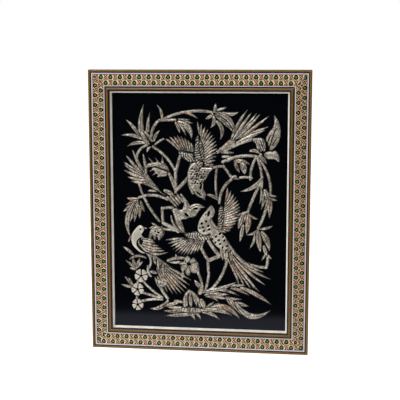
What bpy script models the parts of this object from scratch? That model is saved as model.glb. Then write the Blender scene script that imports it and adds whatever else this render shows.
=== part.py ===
# Engraved copper wall plaque: a black-grounded copper plate with birds and flowers raised in
# relief, held in a mitred wooden frame that is faced with khatam marquetry strips.
# Metres, +Z up. The front faces -Y. The origin is on the back face of the hanger's toothed
# middle, where the plaque hangs on its nail.

import math

import bmesh
import bpy
from mathutils import Matrix, Vector

# Overall sizes
FRAME_WIDTH = 0.400
FRAME_HEIGHT = 0.515
FRAME_DEPTH = 0.022
HANGER_BELOW_TOP = 0.020
FIT_GAP = 0.0003

# Strips across each rail, from the outer edge inwards
OUTER_MOULDING_WIDTH = 0.0085
OUTER_BEAD_WIDTH = 0.0038
KHATAM_WIDTH = 0.0188
INNER_MOULDING_WIDTH = 0.0093
INNER_LINES_WIDTH = 0.0044
INNER_BEAD_WIDTH = 0.0036
SLIP_WIDTH = 0.0040

# Depths, measured back from the foremost plane of the frame
STRIP_SEAT = 0.0030
OUTER_LINES_DEPTH = 0.0012
INNER_LINES_DEPTH = 0.0014
KHATAM_CROWN = 0.0006
BEAD_RISE = 0.0007
SLIP_TOP = 0.0040
SLIP_SLOPE = 0.0024
SLIP_EASE = 0.0005
PLATE_FRONT = 0.0106
RABBET_OVERLAP = 0.0060
BACK_EDGE_EASE = 0.0008

# Plate and board
PLATE_THICKNESS = 0.0012
BOARD_THICKNESS = 0.0030

# Relief: the figures are laid out in millimetres from the middle of this opening
LAYOUT_WIDTH = 317.0
LAYOUT_HEIGHT = 432.0
RELIEF_RISE_SHARE = 0.34
RELIEF_RISE_LEAST = 0.9
RELIEF_RISE_MOST = 3.4
ROOT_DEPTH = 0.40
ROOT_STEP = 0.03
ROOT_STEPS = 12
LEAST_BLADE_WIDTH = 0.7
DOME_FROM_WIDTH = 11.5
DOME_SHOULDER = 0.72

# Hanger
HANGER_LENGTH = 0.046
HANGER_HEIGHT = 0.011
HANGER_THICKNESS = 0.0009
TOOTH_HEIGHT = 0.0012
TOOTH_COUNT = 11
TOOTHED_SHARE = 0.60
NOTCH_SHARE = 0.84
HANGER_RECESS = 0.0010
POCKET_HEIGHT = 0.010
POCKET_DEPTH = 0.0040
NAIL_INSET = 0.0045
NAIL_DIAMETER = 0.0014
NAIL_LENGTH = 0.0085
NAIL_HEAD_DIAMETER = 0.0034
NAIL_HEAD_THICKNESS = 0.0007
NAIL_SIDES = 12

# Values worked out from the sizes above
KHATAM_START = OUTER_MOULDING_WIDTH + FIT_GAP
INNER_MOULDING_START = KHATAM_START + KHATAM_WIDTH + FIT_GAP
SLIP_START = INNER_MOULDING_START + INNER_MOULDING_WIDTH + FIT_GAP
RAIL_WIDTH = SLIP_START + SLIP_WIDTH
CORE_FRONT = STRIP_SEAT + FIT_GAP
CORE_LIP = SLIP_START - FIT_GAP
LIP_BACK = PLATE_FRONT - FIT_GAP
RABBET_START = RAIL_WIDTH - RABBET_OVERLAP
MITRE_BACK = FIT_GAP / math.sqrt(2)
BOARD_FRONT = PLATE_FRONT + PLATE_THICKNESS + FIT_GAP
PLATE_WIDTH = FRAME_WIDTH - 2 * (RABBET_START + FIT_GAP)
PLATE_HEIGHT = FRAME_HEIGHT - 2 * (RABBET_START + FIT_GAP)
OPENING_WIDTH = FRAME_WIDTH - 2 * RAIL_WIDTH
NAIL_SPACING = HANGER_LENGTH - 2 * NAIL_INSET
OPENING_HEIGHT = FRAME_HEIGHT - 2 * RAIL_WIDTH
LAYOUT_SCALE = min(OPENING_WIDTH / LAYOUT_WIDTH, OPENING_HEIGHT / LAYOUT_HEIGHT)
TAB_DROP = NAIL_HEAD_THICKNESS + 2 * FIT_GAP
FRAME_BACK_Y = HANGER_RECESS
FRAME_FRONT_Y = FRAME_BACK_Y - FRAME_DEPTH
CENTRE_Z = HANGER_BELOW_TOP - FRAME_HEIGHT / 2

# How wide a blade is along its length: share at its root, where it is widest, share at its tip
STEM = (0.95, 0.50, 0.85)
LEAF = (0.30, 0.45, 0.00)
PETAL = (0.55, 0.45, 0.00)
TONGUE = (0.90, 0.15, 0.00)
FEATHER = (0.75, 0.50, 0.10)
WEDGE = (0.22, 1.00, 1.00)
BODY = (0.55, 0.50, 0.45)
NECK = (0.85, 0.35, 0.45)
ROUND = (0.35, 0.50, 0.35)

# One row for each raised figure: kind, from x, z, to x, z, bow to the left, width
SPIKED_FLOWER = [
    (TONGUE, -105, 144, -100.5, 196, 3, 10.5),
    (BODY, -106, 147, -91, 123, -1, 9),
    (STEM, -98, 146, -86, 130, 0, 5),
    (TONGUE, -93, 146, -89, 182, 1.5, 7),
    (LEAF, -111, 140, -134, 168, -2.5, 6.5),
    (LEAF, -103, 131, -143, 139, -4.5, 6),
    (LEAF, -99, 125, -132, 119, -3.5, 6.5),
    (STEM, -94, 121, -113, 92, -8, 5),
    (PETAL, -89, 118, -95, 108, -2, 5),
    (LEAF, -81, 131, -71, 149, 2.5, 6),
    (STEM, -80, 123, -65, 133, 1, 4),
    (STEM, -85, 119, -43, 72, 6, 5),
    (STEM, -86, 137, -71, 167, 5, 5.5),
]
ARCH_BRANCH = [
    (LEAF, -69, 167, -77, 195, -4.5, 5.5),
    (STEM, -69, 167, -25, 182, 2, 5),
    (STEM, -27, 181, 23, 181.5, 3, 5),
    (STEM, -68, 167, -43, 168, 0, 4.5),
    (LEAF, -31, 181, -2, 170, 3, 5),
]
BUD_UNDER_ARCH = [
    (PETAL, -37, 169, -16, 168, 0, 3.5),
    (PETAL, -38, 164, -10, 162, 1, 5),
    (PETAL, -39, 163, -14, 133, 9, 11),
    (PETAL, -40, 162, -24, 139, 3, 5),
    (PETAL, -43, 163, -35, 144, 1.5, 6),
]
STAR_FLOWER = [
    (PETAL, 28, 184, 30, 198, 0, 6),
    (LEAF, 31, 185, 50, 191, 0, 5),
    (LEAF, 44, 182, 71, 183, -4, 7),
    (PETAL, 30, 178, 64, 143, 7, 17),
    (LEAF, 31, 164, 38, 133, 7, 8),
    (PETAL, 25, 174, 20, 154, 4, 7),
    (PETAL, 23, 176, 11, 170, 0, 6),
    (ROUND, 22, 179, 33, 181, 0, 9),
]
LILY = [
    (PETAL, 129, 114, 133, 178, -4, 22),
    (BODY, 98, 134, 119, 124, 5, 7),
    (PETAL, 103, 134, 105, 115, 1, 6),
    (PETAL, 109, 134, 113, 115, 1, 6),
    (PETAL, 116, 131, 118, 112, 2, 6),
    (LEAF, 93, 112, 111, 107, 4, 6),
    (STEM, 111, 108, 104, 101, 1, 5),
    (PETAL, 117, 106, 143, 104, 2, 15),
    (LEAF, 136, 113, 145, 94, 2, 7),
    (PETAL, 110, 104, 122, 90, 1, 7),
]
HANGING_FLOWERS = [
    (PETAL, 64, 94, 92, 89, 3, 8),
    (PETAL, 76, 91, 82, 71, 2, 12),
    (PETAL, 65, 91, 73, 74, 0, 7),
    (STEM, 42, 92, 104, 103, 6, 5.5),
    (STEM, 105, 101, 128, 33, 8.5, 5),
    (STEM, 105, 99, 112, 46, 4, 5),
    (LEAF, 113, 67, 74, 40, 6.5, 8),
    (STEM, 110, 54, 88, 2, -1, 5.5),
    (LEAF, 112, 42, 109, 17, 2, 5),
    (LEAF, 116, 39, 112, 7, 2.5, 6),
    (LEAF, 118, 42, 127, -8, 4.5, 12),
    (LEAF, 127, 34, 141, 32, 0, 4),
    (LEAF, 128, 30, 142, 25, -1, 5),
    (STEM, 122, 16, 107, -26, 2, 5.5),
    (LEAF, 87, 3, 66, -5, 0, 4),
    (LEAF, 90, 1, 108, -10, -2.5, 5),
    (LEAF, 80, -2, 71, -30, -0.5, 9),
    (LEAF, 85, -4, 80, -18, 0, 5),
    (LEAF, 90, -3, 86, -38, 1, 11),
    (LEAF, 80, -23, 74, -53, 0, 7.5),
    (LEAF, 107, -27, 85, -39, 4, 5),
    (LEAF, 112, -27, 134, -21, -2, 5),
    (LEAF, 100, -37, 91, -65, 3.5, 5),
    (LEAF, 107, -33, 112, -71, -0.5, 10.5),
    (LEAF, 114, -35, 128, -68, 3, 11),
    (PETAL, 118, -59, 124, -80, 0, 7),
    (LEAF, 122, -73, 133, -83, 0, 4.5),
    (LEAF, 120, -76, 114, -86, 0, 4),
    (STEM, 125, -79, 122, -99, 1, 5.5),
    (STEM, 123, -98, 90, -92, 2, 5),
]
DIVING_BIRD = [
    (STEM, -12, 88, -10, 36, -7, 7),
    (STEM, 24, 84, 1, 57, -1, 8),
    (ROUND, -10, 42, 2, 56, 0, 15),
    (PETAL, 1, 44, 10, 25, 2, 9),
    (PETAL, -9, 39, 8, 26, -1, 5),
    (STEM, 5, 58, 7, 42, 0, 3),
    (BODY, -8, 92, -2, 60, 1, 16),
    (BODY, 10, 82, 2, 62, 0, 18),
    (PETAL, -4, 124, -3, 140, 0, 6),
    (BODY, -1, 128, -3, 86, 0, 15),
    (WEDGE, 30, 109, 84, 147, -1, 22),
    (STEM, 45, 113, 98, 135, 2, 6),
    (STEM, 24, 82, 45, 85, 1, 4.5),
    (STEM, 44, 86, 60, 64, 0, 5),
    (LEAF, 57, 67, 73, 62, 0, 6),
    (LEAF, 60, 65, 69, 68, 1, 5),
    (FEATHER, 72, 146, 87, 187, 0.5, 5.5),
    (FEATHER, 79, 150, 94, 182, 0, 5),
    (FEATHER, 84, 148, 103, 181, -1, 5.5),
    (FEATHER, 90, 150, 109, 179, 0, 5),
    (FEATHER, 92, 150, 125, 176, 0, 5),
    (FEATHER, 92, 147, 124, 157, 1.5, 5),
    (FEATHER, 84, 142, 118, 151, -1, 7),
]
PERCH_STEMS = [
    (STEM, 74, 65, 95, 65, 1, 4.5),
    (STEM, 93, 62, 102, 101, 3, 5),
    (STEM, 33, 85, 33, 26, -3, 4.5),
    (STEM, 59, 61, 38, 18, -7, 5.5),
    (LEAF, 16, 32, 38, 20, 3, 5.5),
    (STEM, -35, 102, -42, 74, -0.5, 5.5),
    (STEM, -43, 79, -43, 36, 0, 6),
    (LEAF, -56, 71, -45, 38, 2.5, 7),
    (STEM, -42, 41, -19, 66, -1, 6.5),
    (LEAF, -63, 39, -44, 29, 1, 8),
    (LEAF, -92, 38, -76, 37, 1, 4),
    (LEAF, -36, 111, -29, 99, 0, 5),
]
DARTING_BIRD = [
    (WEDGE, -73, 39, -107, 69, 0, 28),
    (STEM, -114, 62, -102, 28, -0.5, 4.5),
    (STEM, -111, 25, -58, 22, 7, 5),
    (STEM, -103, 30, -73, -17, -2, 5),
    (BODY, -99, 82, -56, 80, 8, 8),
    (LEAF, -82, 91, -93, 99, 0, 4.5),
    (LEAF, -71, 90, -80, 101, 0, 5),
    (LEAF, -63, 90, -67, 103, 0, 6),
    (PETAL, -60, 77, -92, 74, 1, 9),
    (PETAL, -62, 74, -86, 67, -1, 8),
    (PETAL, -61, 71, -78, 64, -1, 7),
    (STEM, -31, 27, -17, 6, 1, 7),
    (ROUND, -19, 2, -5, -3, 0, 15),
    (LEAF, -17, 8, 8, 12, 4, 5),
    (LEAF, -9, 2, 5, 10, -1, 5),
    (BODY, -50, 7, -20, -11, 0, 12),
    (PETAL, -40, -2, -24, -39, -4.5, 12),
    (LEAF, -50, -8, -28, -39, -6, 4.5),
    (STEM, -48, 8, -69, 6, -1, 5),
    (STEM, -68, 8, -67, -21, 0, 5.5),
    (STEM, -66, -21, -38, -36, 1, 7),
    (STEM, -66, -32, -40, -35, 1, 4.5),
]
LEFT_SPRAY = [
    (LEAF, -114, 24, -134, 25, 2, 7),
    (LEAF, -115, 20, -136, 12, 1, 8),
    (LEAF, -117, 16, -141, -1, 0, 8),
    (LEAF, -119, 14, -127, -49, -10, 9),
    (LEAF, -114, 16, -129, -22, 0, 6),
    (LEAF, -112, 13, -120, -20, -1, 7),
    (LEAF, -109, 12, -110, -14, 0, 6),
    (LEAF, -107, 17, -100, -1, -1, 6),
    (LEAF, -126, -46, -132, -58, 0, 4),
    (LEAF, -141, -67, -125, -79, 1, 6),
    (BODY, -130, -90, -98, -87, 5.5, 5),
    (LEAF, -118, -106, -138, -91, 0, 5),
    (LEAF, -119, -105, -124, -86, 0, 7),
    (LEAF, -116, -104, -110, -86, 0, 6),
    (LEAF, -114, -103, -105, -93, 0, 5),
    (LEAF, -120, -108, -130, -106, 0, 5),
    (LEAF, -125, -141, -147, -137, 1.5, 5),
    (LEAF, -128, -137, -140, -122, -1, 5),
    (LEAF, -125, -137, -132, -124, 0, 5),
    (STEM, -115, -128, -115, -140, 0, 4),
    (STEM, -116, -156, -117, -168, 0, 4.5),
    (STEM, -103, -131, -69, -159, -2.5, 4.5),
    (STEM, -104, -152.5, -69, -161, -0.5, 4.5),
    (STEM, -108, -169, -69, -164, 2, 5),
    (LEAF, -89, -112, -76, -115, 0, 6),
]
PERCHED_BIRD = [
    (NECK, -106, -31, -104, -77, -15, 16),
    (ROUND, -112, -36, -102, -29, 0, 14),
    (LEAF, -104, -31, -95, -31, 0, 3.5),
    (PETAL, -110, -45, -98, -54, 1, 6),
    (ROUND, -106, -52, -101, -62, 0, 13),
    (STEM, -114, -52, -61, -75, -13, 4),
    (FEATHER, -102, -57, -74, -67, -3, 5),
    (FEATHER, -102, -62, -66, -72, -3, 5),
    (STEM, -100, -76, -94, -104, 7, 4.5),
    (STEM, -94, -102, -89, -120, -3.5, 5),
    (BODY, -88, -81, -46, -117, 0, 15),
    (LEAF, -75, -92, -75, -111, 0, 5),
    (LEAF, -66, -100, -64, -122, 0, 5),
]
SHAGGY_FLOWER = [
    (ROUND, -88, -37, -66, -37, 0, 20),
    (LEAF, -77, -29, -93, -31, -1, 6),
    (LEAF, -77, -27, -89, -20, 0, 4.5),
    (PETAL, -90, -38, -91, -51, 1, 7),
    (PETAL, -83, -42, -82, -52, 0, 6),
    (PETAL, -75, -42, -74, -52, 0, 6),
    (LEAF, -70, -29, -72, -50, 4, 5),
    (ROUND, -77, -131, -59, -131, 0, 19),
    (LEAF, -75, -140, -84, -121, -1, 6),
    (LEAF, -74, -128, -79, -119, 0, 4.5),
    (STEM, -73, -138, -58, -162, -1, 6),
]
SPOTTED_BIRD = [
    (LEAF, 21, 11, 7, -8, 1, 8),
    (LEAF, 22, 10, 24, -9, 2, 8),
    (ROUND, 8, -8, 26, -6, 0, 9),
    (BODY, 12, -6, 8, -40, -3, 21),
    (STEM, 19, -9, 42, -40, -3, 8),
    (BODY, 26, -32, 52, -68, 1, 24),
    (BODY, 54, -62, 80, -96, 0, 14),
    (LEAF, 40, -62, 43, -88, 1, 8),
    (LEAF, 46, -62, 48, -93, 2, 9),
    (LEAF, 50, -63, 57, -92, 5, 7),
    (STEM, 4, -66, 17, -89, 0, 6),
    (STEM, 17, -89, 38, -80, 1, 7),
    (STEM, 37, -78, 17, -51, 1, 7),
    (STEM, 16, -89, 17, -109, 0, 5.5),
    (STEM, -22, -41, 19, -45, -2, 9),
    (BODY, 40, 12, 40, -26, 0, 10),
    (FEATHER, 71, -98, 74, -134, 0, 5),
    (FEATHER, 74, -100, 84, -134, 1, 5.5),
    (FEATHER, 78, -102, 94, -139, 1, 5.5),
    (FEATHER, 82, -102, 101, -138, 1, 5),
    (FEATHER, 88, -105, 110, -144, 2, 5.5),
    (FEATHER, 88, -100, 121, -131, 0, 6),
    (FEATHER, 90, -98, 131, -120, -1.5, 6),
    (FEATHER, 90, -95, 118, -107, 0, 6),
]
SMALL_BLOSSOM = [
    (ROUND, -26, -85, -18, -84, 0, 9),
    (ROUND, -15, -89, -8, -88, 0, 9),
    (STEM, -7, -92, -4, -111, 2, 6.5),
    (ROUND, -14, -108, -7, -106, 0, 10),
    (PETAL, -22, -104, -18, -118, 0, 9),
    (PETAL, -31, -98, -30, -112, 0, 8),
    (BODY, -26, -100, -12, -98, 0, 12),
    (STEM, -58, -91, -28, -86, 3, 5.5),
    (LEAF, -41, -86, -44, -77, 0, 4.5),
    (LEAF, -34, -92, -57, -93, 1, 5),
    (STEM, -30, -108, -31, -121, 0, 4.5),
]
ROSETTE = [
    (STEM, -23, -182, -18, -147, 7, 5.5),
    (STEM, -20, -147, 1, -176, 6, 6),
    (LEAF, -23, -152, -21, -178, -3, 7),
    (LEAF, -17, -154, -15, -180, 0, 7),
    (LEAF, -12, -153, -5, -176, 2, 7),
    (BODY, -36, -182, 8, -182, -1, 11),
    (LEAF, -60, -166, -93, -182, 6, 8),
    (LEAF, -34, -185, -67, -185, 1, 6),
    (LEAF, -10, -190, -66, -195, 0, 7),
    (LEAF, -42, -170, -68, -177, 0, 7),
    (LEAF, -28, -179, -60, -178, 1, 7),
    (LEAF, -22, -187, -7, -203, 3, 6),
    (LEAF, -12, -184, 3, -201, 3, 6),
    (LEAF, 2, -186, 39, -200, 5, 7),
    (PETAL, 3, -162, 10, -181, 1, 10),
    (LEAF, 12, -179, 28, -165, 0, 6),
    (LEAF, 16, -180, 38, -167, -1, 8),
    (LEAF, 20, -180, 76, -198, 13, 11),
    (LEAF, 6, -183, 62, -191, 6, 9),
    (STEM, -45, -166, -31, -168, 0, 5),
]
LOWER_STEMS = [
    (LEAF, 3, -138, -9, -125, 1, 8),
    (STEM, -4, -109, 6, -140, 2, 5),
    (STEM, 17.5, -111, 10, -146, 1.5, 5),
    (STEM, 50, -88, 22, -141, 5, 5.5),
    (BODY, 0, -153, 6, -136, 0, 10),
    (LEAF, 4, -147, 70, -126, -4, 8),
    (LEAF, 20, -143, 74, -153, 5, 6),
    (LEAF, 60, -140, 92, -152, 3, 6),
    (LEAF, 60, -135, 86, -133, 1, 5),
    (LEAF, 78, -138, 133, -168, 3, 8),
    (LEAF, 12, -153, 56, -151, 1, 7),
    (LEAF, 14, -157, 36, -166, 4, 5),
    (BODY, 22, -156, 50, -159, 1, 6),
    (LEAF, 50, -156, 79, -159, -1.5, 5),
    (LEAF, 50, -158, 64, -178, 1, 6),
    (LEAF, 56, -160, 77, -188, 1, 8),
    (LEAF, 68, -166, 92, -172, 0, 7),
    (LEAF, 68, -167, 93, -197, 0, 9),
    (LEAF, 72, -168, 131, -178, -18, 11),
]

# One row for each fan: kind, root line, tip line, bow of the tip line, count, bow, width
FANS = [
    (FEATHER, (-38, 116), (-13, 113), (-61, 134), (-15, 127), 9, 8, -1.0, 5.0),
    (FEATHER, (-25, 99), (-10, 95), (-30, 108), (-17, 108), 0, 3, 0.0, 5.0),
    (FEATHER, (4, 138), (12, 86), (-3, 165), (27, 88), 19, 14, 1.0, 4.5),
    (FEATHER, (42, 110), (44, 95), (63, 110), (58, 96), 0, 3, 0.0, 5.0),
    (FEATHER, (-103, 84), (-110, 57), (-104, 108), (-124, 56), -26, 8, 0.0, 5.5),
    (FEATHER, (-58, 27), (-33, 32), (-40, 8), (-22, 17), 0, 5, 0.5, 4.5),
    (FEATHER, (-36, -118), (-59, -124), (-15, -126), (-59, -150), 14, 7, 0.0, 5.0),
    (FEATHER, (-24, -49), (9, -51), (-62, -52), (3, -70), -18, 13, -1.0, 4.5),
    (FEATHER, (50, 22), (48, -28), (52, 46), (58, -29), 22, 14, -1.5, 4.5),
]

# Five-petalled flowers: centre, distance of the petals, their size, turn of the first one
FIVE_PETALLED = [
    ((-108, -120), 8.5, 9, 45),
    ((-115, -146), 8.0, 8.5, 50),
    ((-115, -175), 8.0, 7.5, 63),
]

MATERIALS = {
    "walnut": ((0.16, 0.09, 0.05, 1.0), 0.50, 0.0),
    "marquetry": ((0.42, 0.27, 0.14, 1.0), 0.25, 0.0),
    "khatam": ((0.33, 0.26, 0.17, 1.0), 0.22, 0.0),
    "camel bone": ((0.80, 0.76, 0.68, 1.0), 0.35, 0.0),
    "engraved copper": ((0.72, 0.66, 0.58, 1.0), 0.35, 1.0),
    "hardboard": ((0.30, 0.20, 0.12, 1.0), 0.75, 0.0),
    "zinc plated steel": ((0.62, 0.62, 0.60, 1.0), 0.35, 1.0),
}


def clear_scene():
    for obj in list(bpy.data.objects):
        bpy.data.objects.remove(obj, do_unlink=True)


def make_collection(name):
    collection = bpy.data.collections.new(name)
    bpy.context.scene.collection.children.link(collection)
    return collection


def make_material(name):
    colour, roughness, metallic = MATERIALS[name]
    material = bpy.data.materials.new(name)
    material.use_nodes = True
    shader = material.node_tree.nodes["Principled BSDF"]
    shader.inputs["Base Color"].default_value = colour
    shader.inputs["Roughness"].default_value = roughness
    shader.inputs["Metallic"].default_value = metallic
    return material


def add_object(name, bm, collection, material=None):
    mesh = bpy.data.meshes.new(name)
    bm.normal_update()
    bmesh.ops.recalc_face_normals(bm, faces=bm.faces[:])
    bm.to_mesh(mesh)
    bm.free()
    obj = bpy.data.objects.new(name, mesh)
    collection.objects.link(obj)
    if material:
        mesh.materials.append(material)
    return obj


def add_cutter(name, bm, collection):
    cutter = add_object(name, bm, collection)
    cutter.hide_render = True
    cutter.display_type = "WIRE"
    return cutter


def box(size, centre):
    bm = bmesh.new()
    bmesh.ops.create_cube(bm, size=1.0)
    bmesh.ops.scale(bm, vec=size, verts=bm.verts)
    bmesh.ops.translate(bm, vec=centre, verts=bm.verts)
    return bm


def cut(obj, cutter):
    boolean = obj.modifiers.new(cutter.name, "BOOLEAN")
    boolean.operation = "DIFFERENCE"
    boolean.solver = "EXACT"
    boolean.object = cutter


# Profiles of the rail: points of inset from the outer edge and depth behind the foremost plane

def arc_points(start, end, edge_depth, rise, steps):
    points = []
    for i in range(steps + 1):
        share = i / steps
        across = start + (end - start) * share
        points.append((across, edge_depth - rise * math.sin(math.pi * share)))
    return points


def core_profile():
    return [
        (0.0, CORE_FRONT),
        (CORE_LIP, CORE_FRONT),
        (CORE_LIP, LIP_BACK),
        (RABBET_START, LIP_BACK),
        (RABBET_START, FRAME_DEPTH),
        (BACK_EDGE_EASE, FRAME_DEPTH),
        (0.0, FRAME_DEPTH - BACK_EDGE_EASE),
    ]


def outer_moulding_profile():
    bead = arc_points(0.0, OUTER_BEAD_WIDTH, OUTER_LINES_DEPTH, BEAD_RISE, 6)
    return bead + [
        (OUTER_MOULDING_WIDTH, OUTER_LINES_DEPTH),
        (OUTER_MOULDING_WIDTH, STRIP_SEAT),
        (0.0, STRIP_SEAT),
    ]


def khatam_profile():
    end = KHATAM_START + KHATAM_WIDTH
    crown = arc_points(KHATAM_START, end, KHATAM_CROWN, KHATAM_CROWN, 8)
    return crown + [(end, STRIP_SEAT), (KHATAM_START, STRIP_SEAT)]


def inner_moulding_profile():
    start = INNER_MOULDING_START
    end = start + INNER_MOULDING_WIDTH
    bead_start = start + INNER_LINES_WIDTH
    bead = arc_points(bead_start, bead_start + INNER_BEAD_WIDTH, INNER_LINES_DEPTH, BEAD_RISE, 6)
    return [(start, INNER_LINES_DEPTH)] + bead + [
        (end, INNER_LINES_DEPTH),
        (end, STRIP_SEAT),
        (start, STRIP_SEAT),
    ]


def slip_profile():
    end = SLIP_START + SLIP_WIDTH
    return [
        (SLIP_START, SLIP_TOP + SLIP_EASE),
        (SLIP_START + SLIP_EASE, SLIP_TOP),
        (end, SLIP_TOP + SLIP_SLOPE),
        (end, LIP_BACK),
        (SLIP_START, LIP_BACK),
    ]


SIDES = {
    "top": (0.0, FRAME_WIDTH / 2, (0.0, CENTRE_Z + FRAME_HEIGHT / 2)),
    "right": (90.0, FRAME_HEIGHT / 2, (FRAME_WIDTH / 2, CENTRE_Z)),
    "bottom": (180.0, FRAME_WIDTH / 2, (0.0, CENTRE_Z - FRAME_HEIGHT / 2)),
    "left": (270.0, FRAME_HEIGHT / 2, (-FRAME_WIDTH / 2, CENTRE_Z)),
}


def mitred_strip(side, piece, profile, collection, material):
    # A profile drawn out along one side, each end drawn in by its inset to make the 45 degree mitre
    turn, half_length, (x, z) = SIDES[side]
    bm = bmesh.new()
    near = [bm.verts.new((0.0, depth, -inset)) for inset, depth in profile]
    drawn = bmesh.ops.extrude_face_region(bm, geom=[bm.faces.new(near)])
    far = [v for v in drawn["geom"] if isinstance(v, bmesh.types.BMVert)]
    for vert in near:
        vert.co.x = -(half_length + vert.co.z - MITRE_BACK)
    for vert in far:
        vert.co.x = half_length + vert.co.z - MITRE_BACK
    strip = add_object(f"{side}_{piece}", bm, collection, material)
    strip.location = (x, FRAME_FRONT_Y, z)
    strip.rotation_euler = (0.0, math.radians(turn), 0.0)
    return strip


def build_frame(collection, materials):
    pieces = [
        ("rail", core_profile(), "walnut"),
        ("outer_moulding", outer_moulding_profile(), "marquetry"),
        ("khatam_band", khatam_profile(), "khatam"),
        ("inner_moulding", inner_moulding_profile(), "marquetry"),
        ("bone_slip", slip_profile(), "camel bone"),
    ]
    frame = {}
    for side in SIDES:
        for piece, profile, material in pieces:
            strip = mitred_strip(side, piece, profile, collection, materials[material])
            frame[strip.name] = strip
    return frame


# Relief

def blade_width(kind, width, share):
    root, widest, tip = kind
    if kind is WEDGE:
        part = root + (tip - root) * share
    elif share < widest:
        part = root + (1 - root) * math.sin(math.pi / 2 * share / widest)
    else:
        part = tip + (1 - tip) * math.cos(math.pi / 2 * (share - widest) / (1 - widest))
    return max(width * part, LEAST_BLADE_WIDTH)


def blade_steps(length, bow, kind):
    bend = abs(bow) / length
    steps = 1 if kind in (STEM, FEATHER, WEDGE) else 2
    if bend > 0.04:
        steps = 2
    if bend > 0.09:
        steps = 3
    if bend > 0.20 or (length > 45 and bend > 0.09):
        steps = 4
    return steps


def add_blade(bm, row, order):
    # A curved ridge: a roof of three points across, or a dome of five on a broad body. A blade
    # that comes to a point dives into the plate there.
    kind, x0, z0, x1, z1, bow, width = row
    start = Vector((x0, z0))
    end = Vector((x1, z1))
    chord = end - start
    left = Vector((-chord.y, chord.x)).normalized()
    steps = blade_steps(chord.length, bow, kind)
    root = -(ROOT_DEPTH + ROOT_STEP * (order % ROOT_STEPS))
    pointed = kind[2] == 0.0
    rings = []
    for i in range(steps if pointed else steps + 1):
        share = i / steps
        point = start + chord * share + left * bow * 4 * share * (1 - share)
        heading = (chord + left * bow * 4 * (1 - 2 * share)).normalized()
        aside = Vector((-heading.y, heading.x))
        wide = blade_width(kind, width, share)
        rise = min(max(wide * RELIEF_RISE_SHARE, RELIEF_RISE_LEAST), RELIEF_RISE_MOST)
        across = [(0.5, root), (0.0, rise), (-0.5, root)]
        if width > DOME_FROM_WIDTH:
            shoulder = rise * DOME_SHOULDER
            across = [(0.5, root), (0.28, shoulder), (0.0, rise), (-0.28, shoulder), (-0.5, root)]
        ring = []
        for offset, height in across:
            spot = point + aside * offset * wide
            ring.append(bm.verts.new((spot.x, -height, spot.y)))
        rings.append(ring)
    for ring, following in zip(rings, rings[1:]):
        for i in range(len(ring)):
            j = (i + 1) % len(ring)
            bm.faces.new((ring[i], ring[j], following[j], following[i]))
    bm.faces.new(rings[0])
    last = rings[-1]
    if pointed:
        tip = bm.verts.new((end.x, -root, end.y))
        for i in range(len(last)):
            bm.faces.new((last[i], last[(i + 1) % len(last)], tip))
    else:
        bm.faces.new(reversed(last))


def fan_rows(fan):
    # Feathers spread from a straight root line to a bowed tip line
    kind, root_a, root_b, tip_a, tip_b, tip_bow, count, bow, width = fan
    root_a, root_b, tip_a, tip_b = (Vector(p) for p in (root_a, root_b, tip_a, tip_b))
    line = tip_b - tip_a
    left = Vector((-line.y, line.x)).normalized()
    rows = []
    for i in range(count):
        share = i / (count - 1)
        root = root_a.lerp(root_b, share)
        tip = tip_a.lerp(tip_b, share) + left * tip_bow * 4 * share * (1 - share)
        rows.append((kind, root.x, root.y, tip.x, tip.y, bow, width))
    return rows


def five_petal_rows(flower):
    (x, z), reach, size, turn = flower
    rows = []
    for i in range(5):
        angle = math.radians(turn + 72 * i)
        out = Vector((math.cos(angle), math.sin(angle)))
        rows.append((
            ROUND,
            x + out.x * reach * 0.45, z + out.y * reach * 0.45,
            x + out.x * (reach + size * 0.45), z + out.y * (reach + size * 0.45),
            0.0, size,
        ))
    return rows


def relief_rows():
    rows = (
        SPIKED_FLOWER + ARCH_BRANCH + BUD_UNDER_ARCH + STAR_FLOWER + LILY + HANGING_FLOWERS
        + DIVING_BIRD + PERCH_STEMS + DARTING_BIRD + LEFT_SPRAY + PERCHED_BIRD + SHAGGY_FLOWER
        + SPOTTED_BIRD + SMALL_BLOSSOM + ROSETTE + LOWER_STEMS
    )
    for fan in FANS:
        rows = rows + fan_rows(fan)
    for flower in FIVE_PETALLED:
        rows = rows + five_petal_rows(flower)
    return rows


def build_plate(collection, cutters, materials):
    front_y = FRAME_FRONT_Y + PLATE_FRONT
    slab = box((PLATE_WIDTH, PLATE_THICKNESS, PLATE_HEIGHT), (0.0, 0.0, 0.0))
    plate = add_object("engraved_plate", slab, collection, materials["engraved copper"])
    plate.location = (0.0, front_y + PLATE_THICKNESS / 2, CENTRE_Z)

    figures = bmesh.new()
    for order, row in enumerate(relief_rows()):
        add_blade(figures, row, order)
    bmesh.ops.scale(figures, vec=(LAYOUT_SCALE, LAYOUT_SCALE, LAYOUT_SCALE), verts=figures.verts)
    relief = add_cutter("relief_figures", figures, cutters)
    relief.location = (0.0, front_y, CENTRE_Z)

    union = plate.modifiers.new("relief", "BOOLEAN")
    union.operation = "UNION"
    union.solver = "EXACT"
    union.use_self = True
    union.object = relief
    return plate


def build_board(collection, materials):
    board = add_object(
        "backing_board",
        box((PLATE_WIDTH, BOARD_THICKNESS, PLATE_HEIGHT), (0.0, 0.0, 0.0)),
        collection, materials["hardboard"],
    )
    board.location = (0.0, FRAME_FRONT_Y + BOARD_FRONT + BOARD_THICKNESS / 2, CENTRE_Z)
    return board


# Hanger: a strip let into the back of the top rail. Its toothed middle stands clear over a
# pocket, and its end tabs are pressed down so that the nail heads lie under the middle's face.

def strip_profile():
    half = HANGER_LENGTH / 2
    middle = HANGER_LENGTH * TOOTHED_SHARE / 2
    bend = middle + TAB_DROP
    back = [(-half, -TAB_DROP), (-bend, -TAB_DROP), (-middle, 0.0),
            (middle, 0.0), (bend, -TAB_DROP), (half, -TAB_DROP)]
    front = [(x, y - HANGER_THICKNESS) for x, y in reversed(back)]
    return back + front


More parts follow.
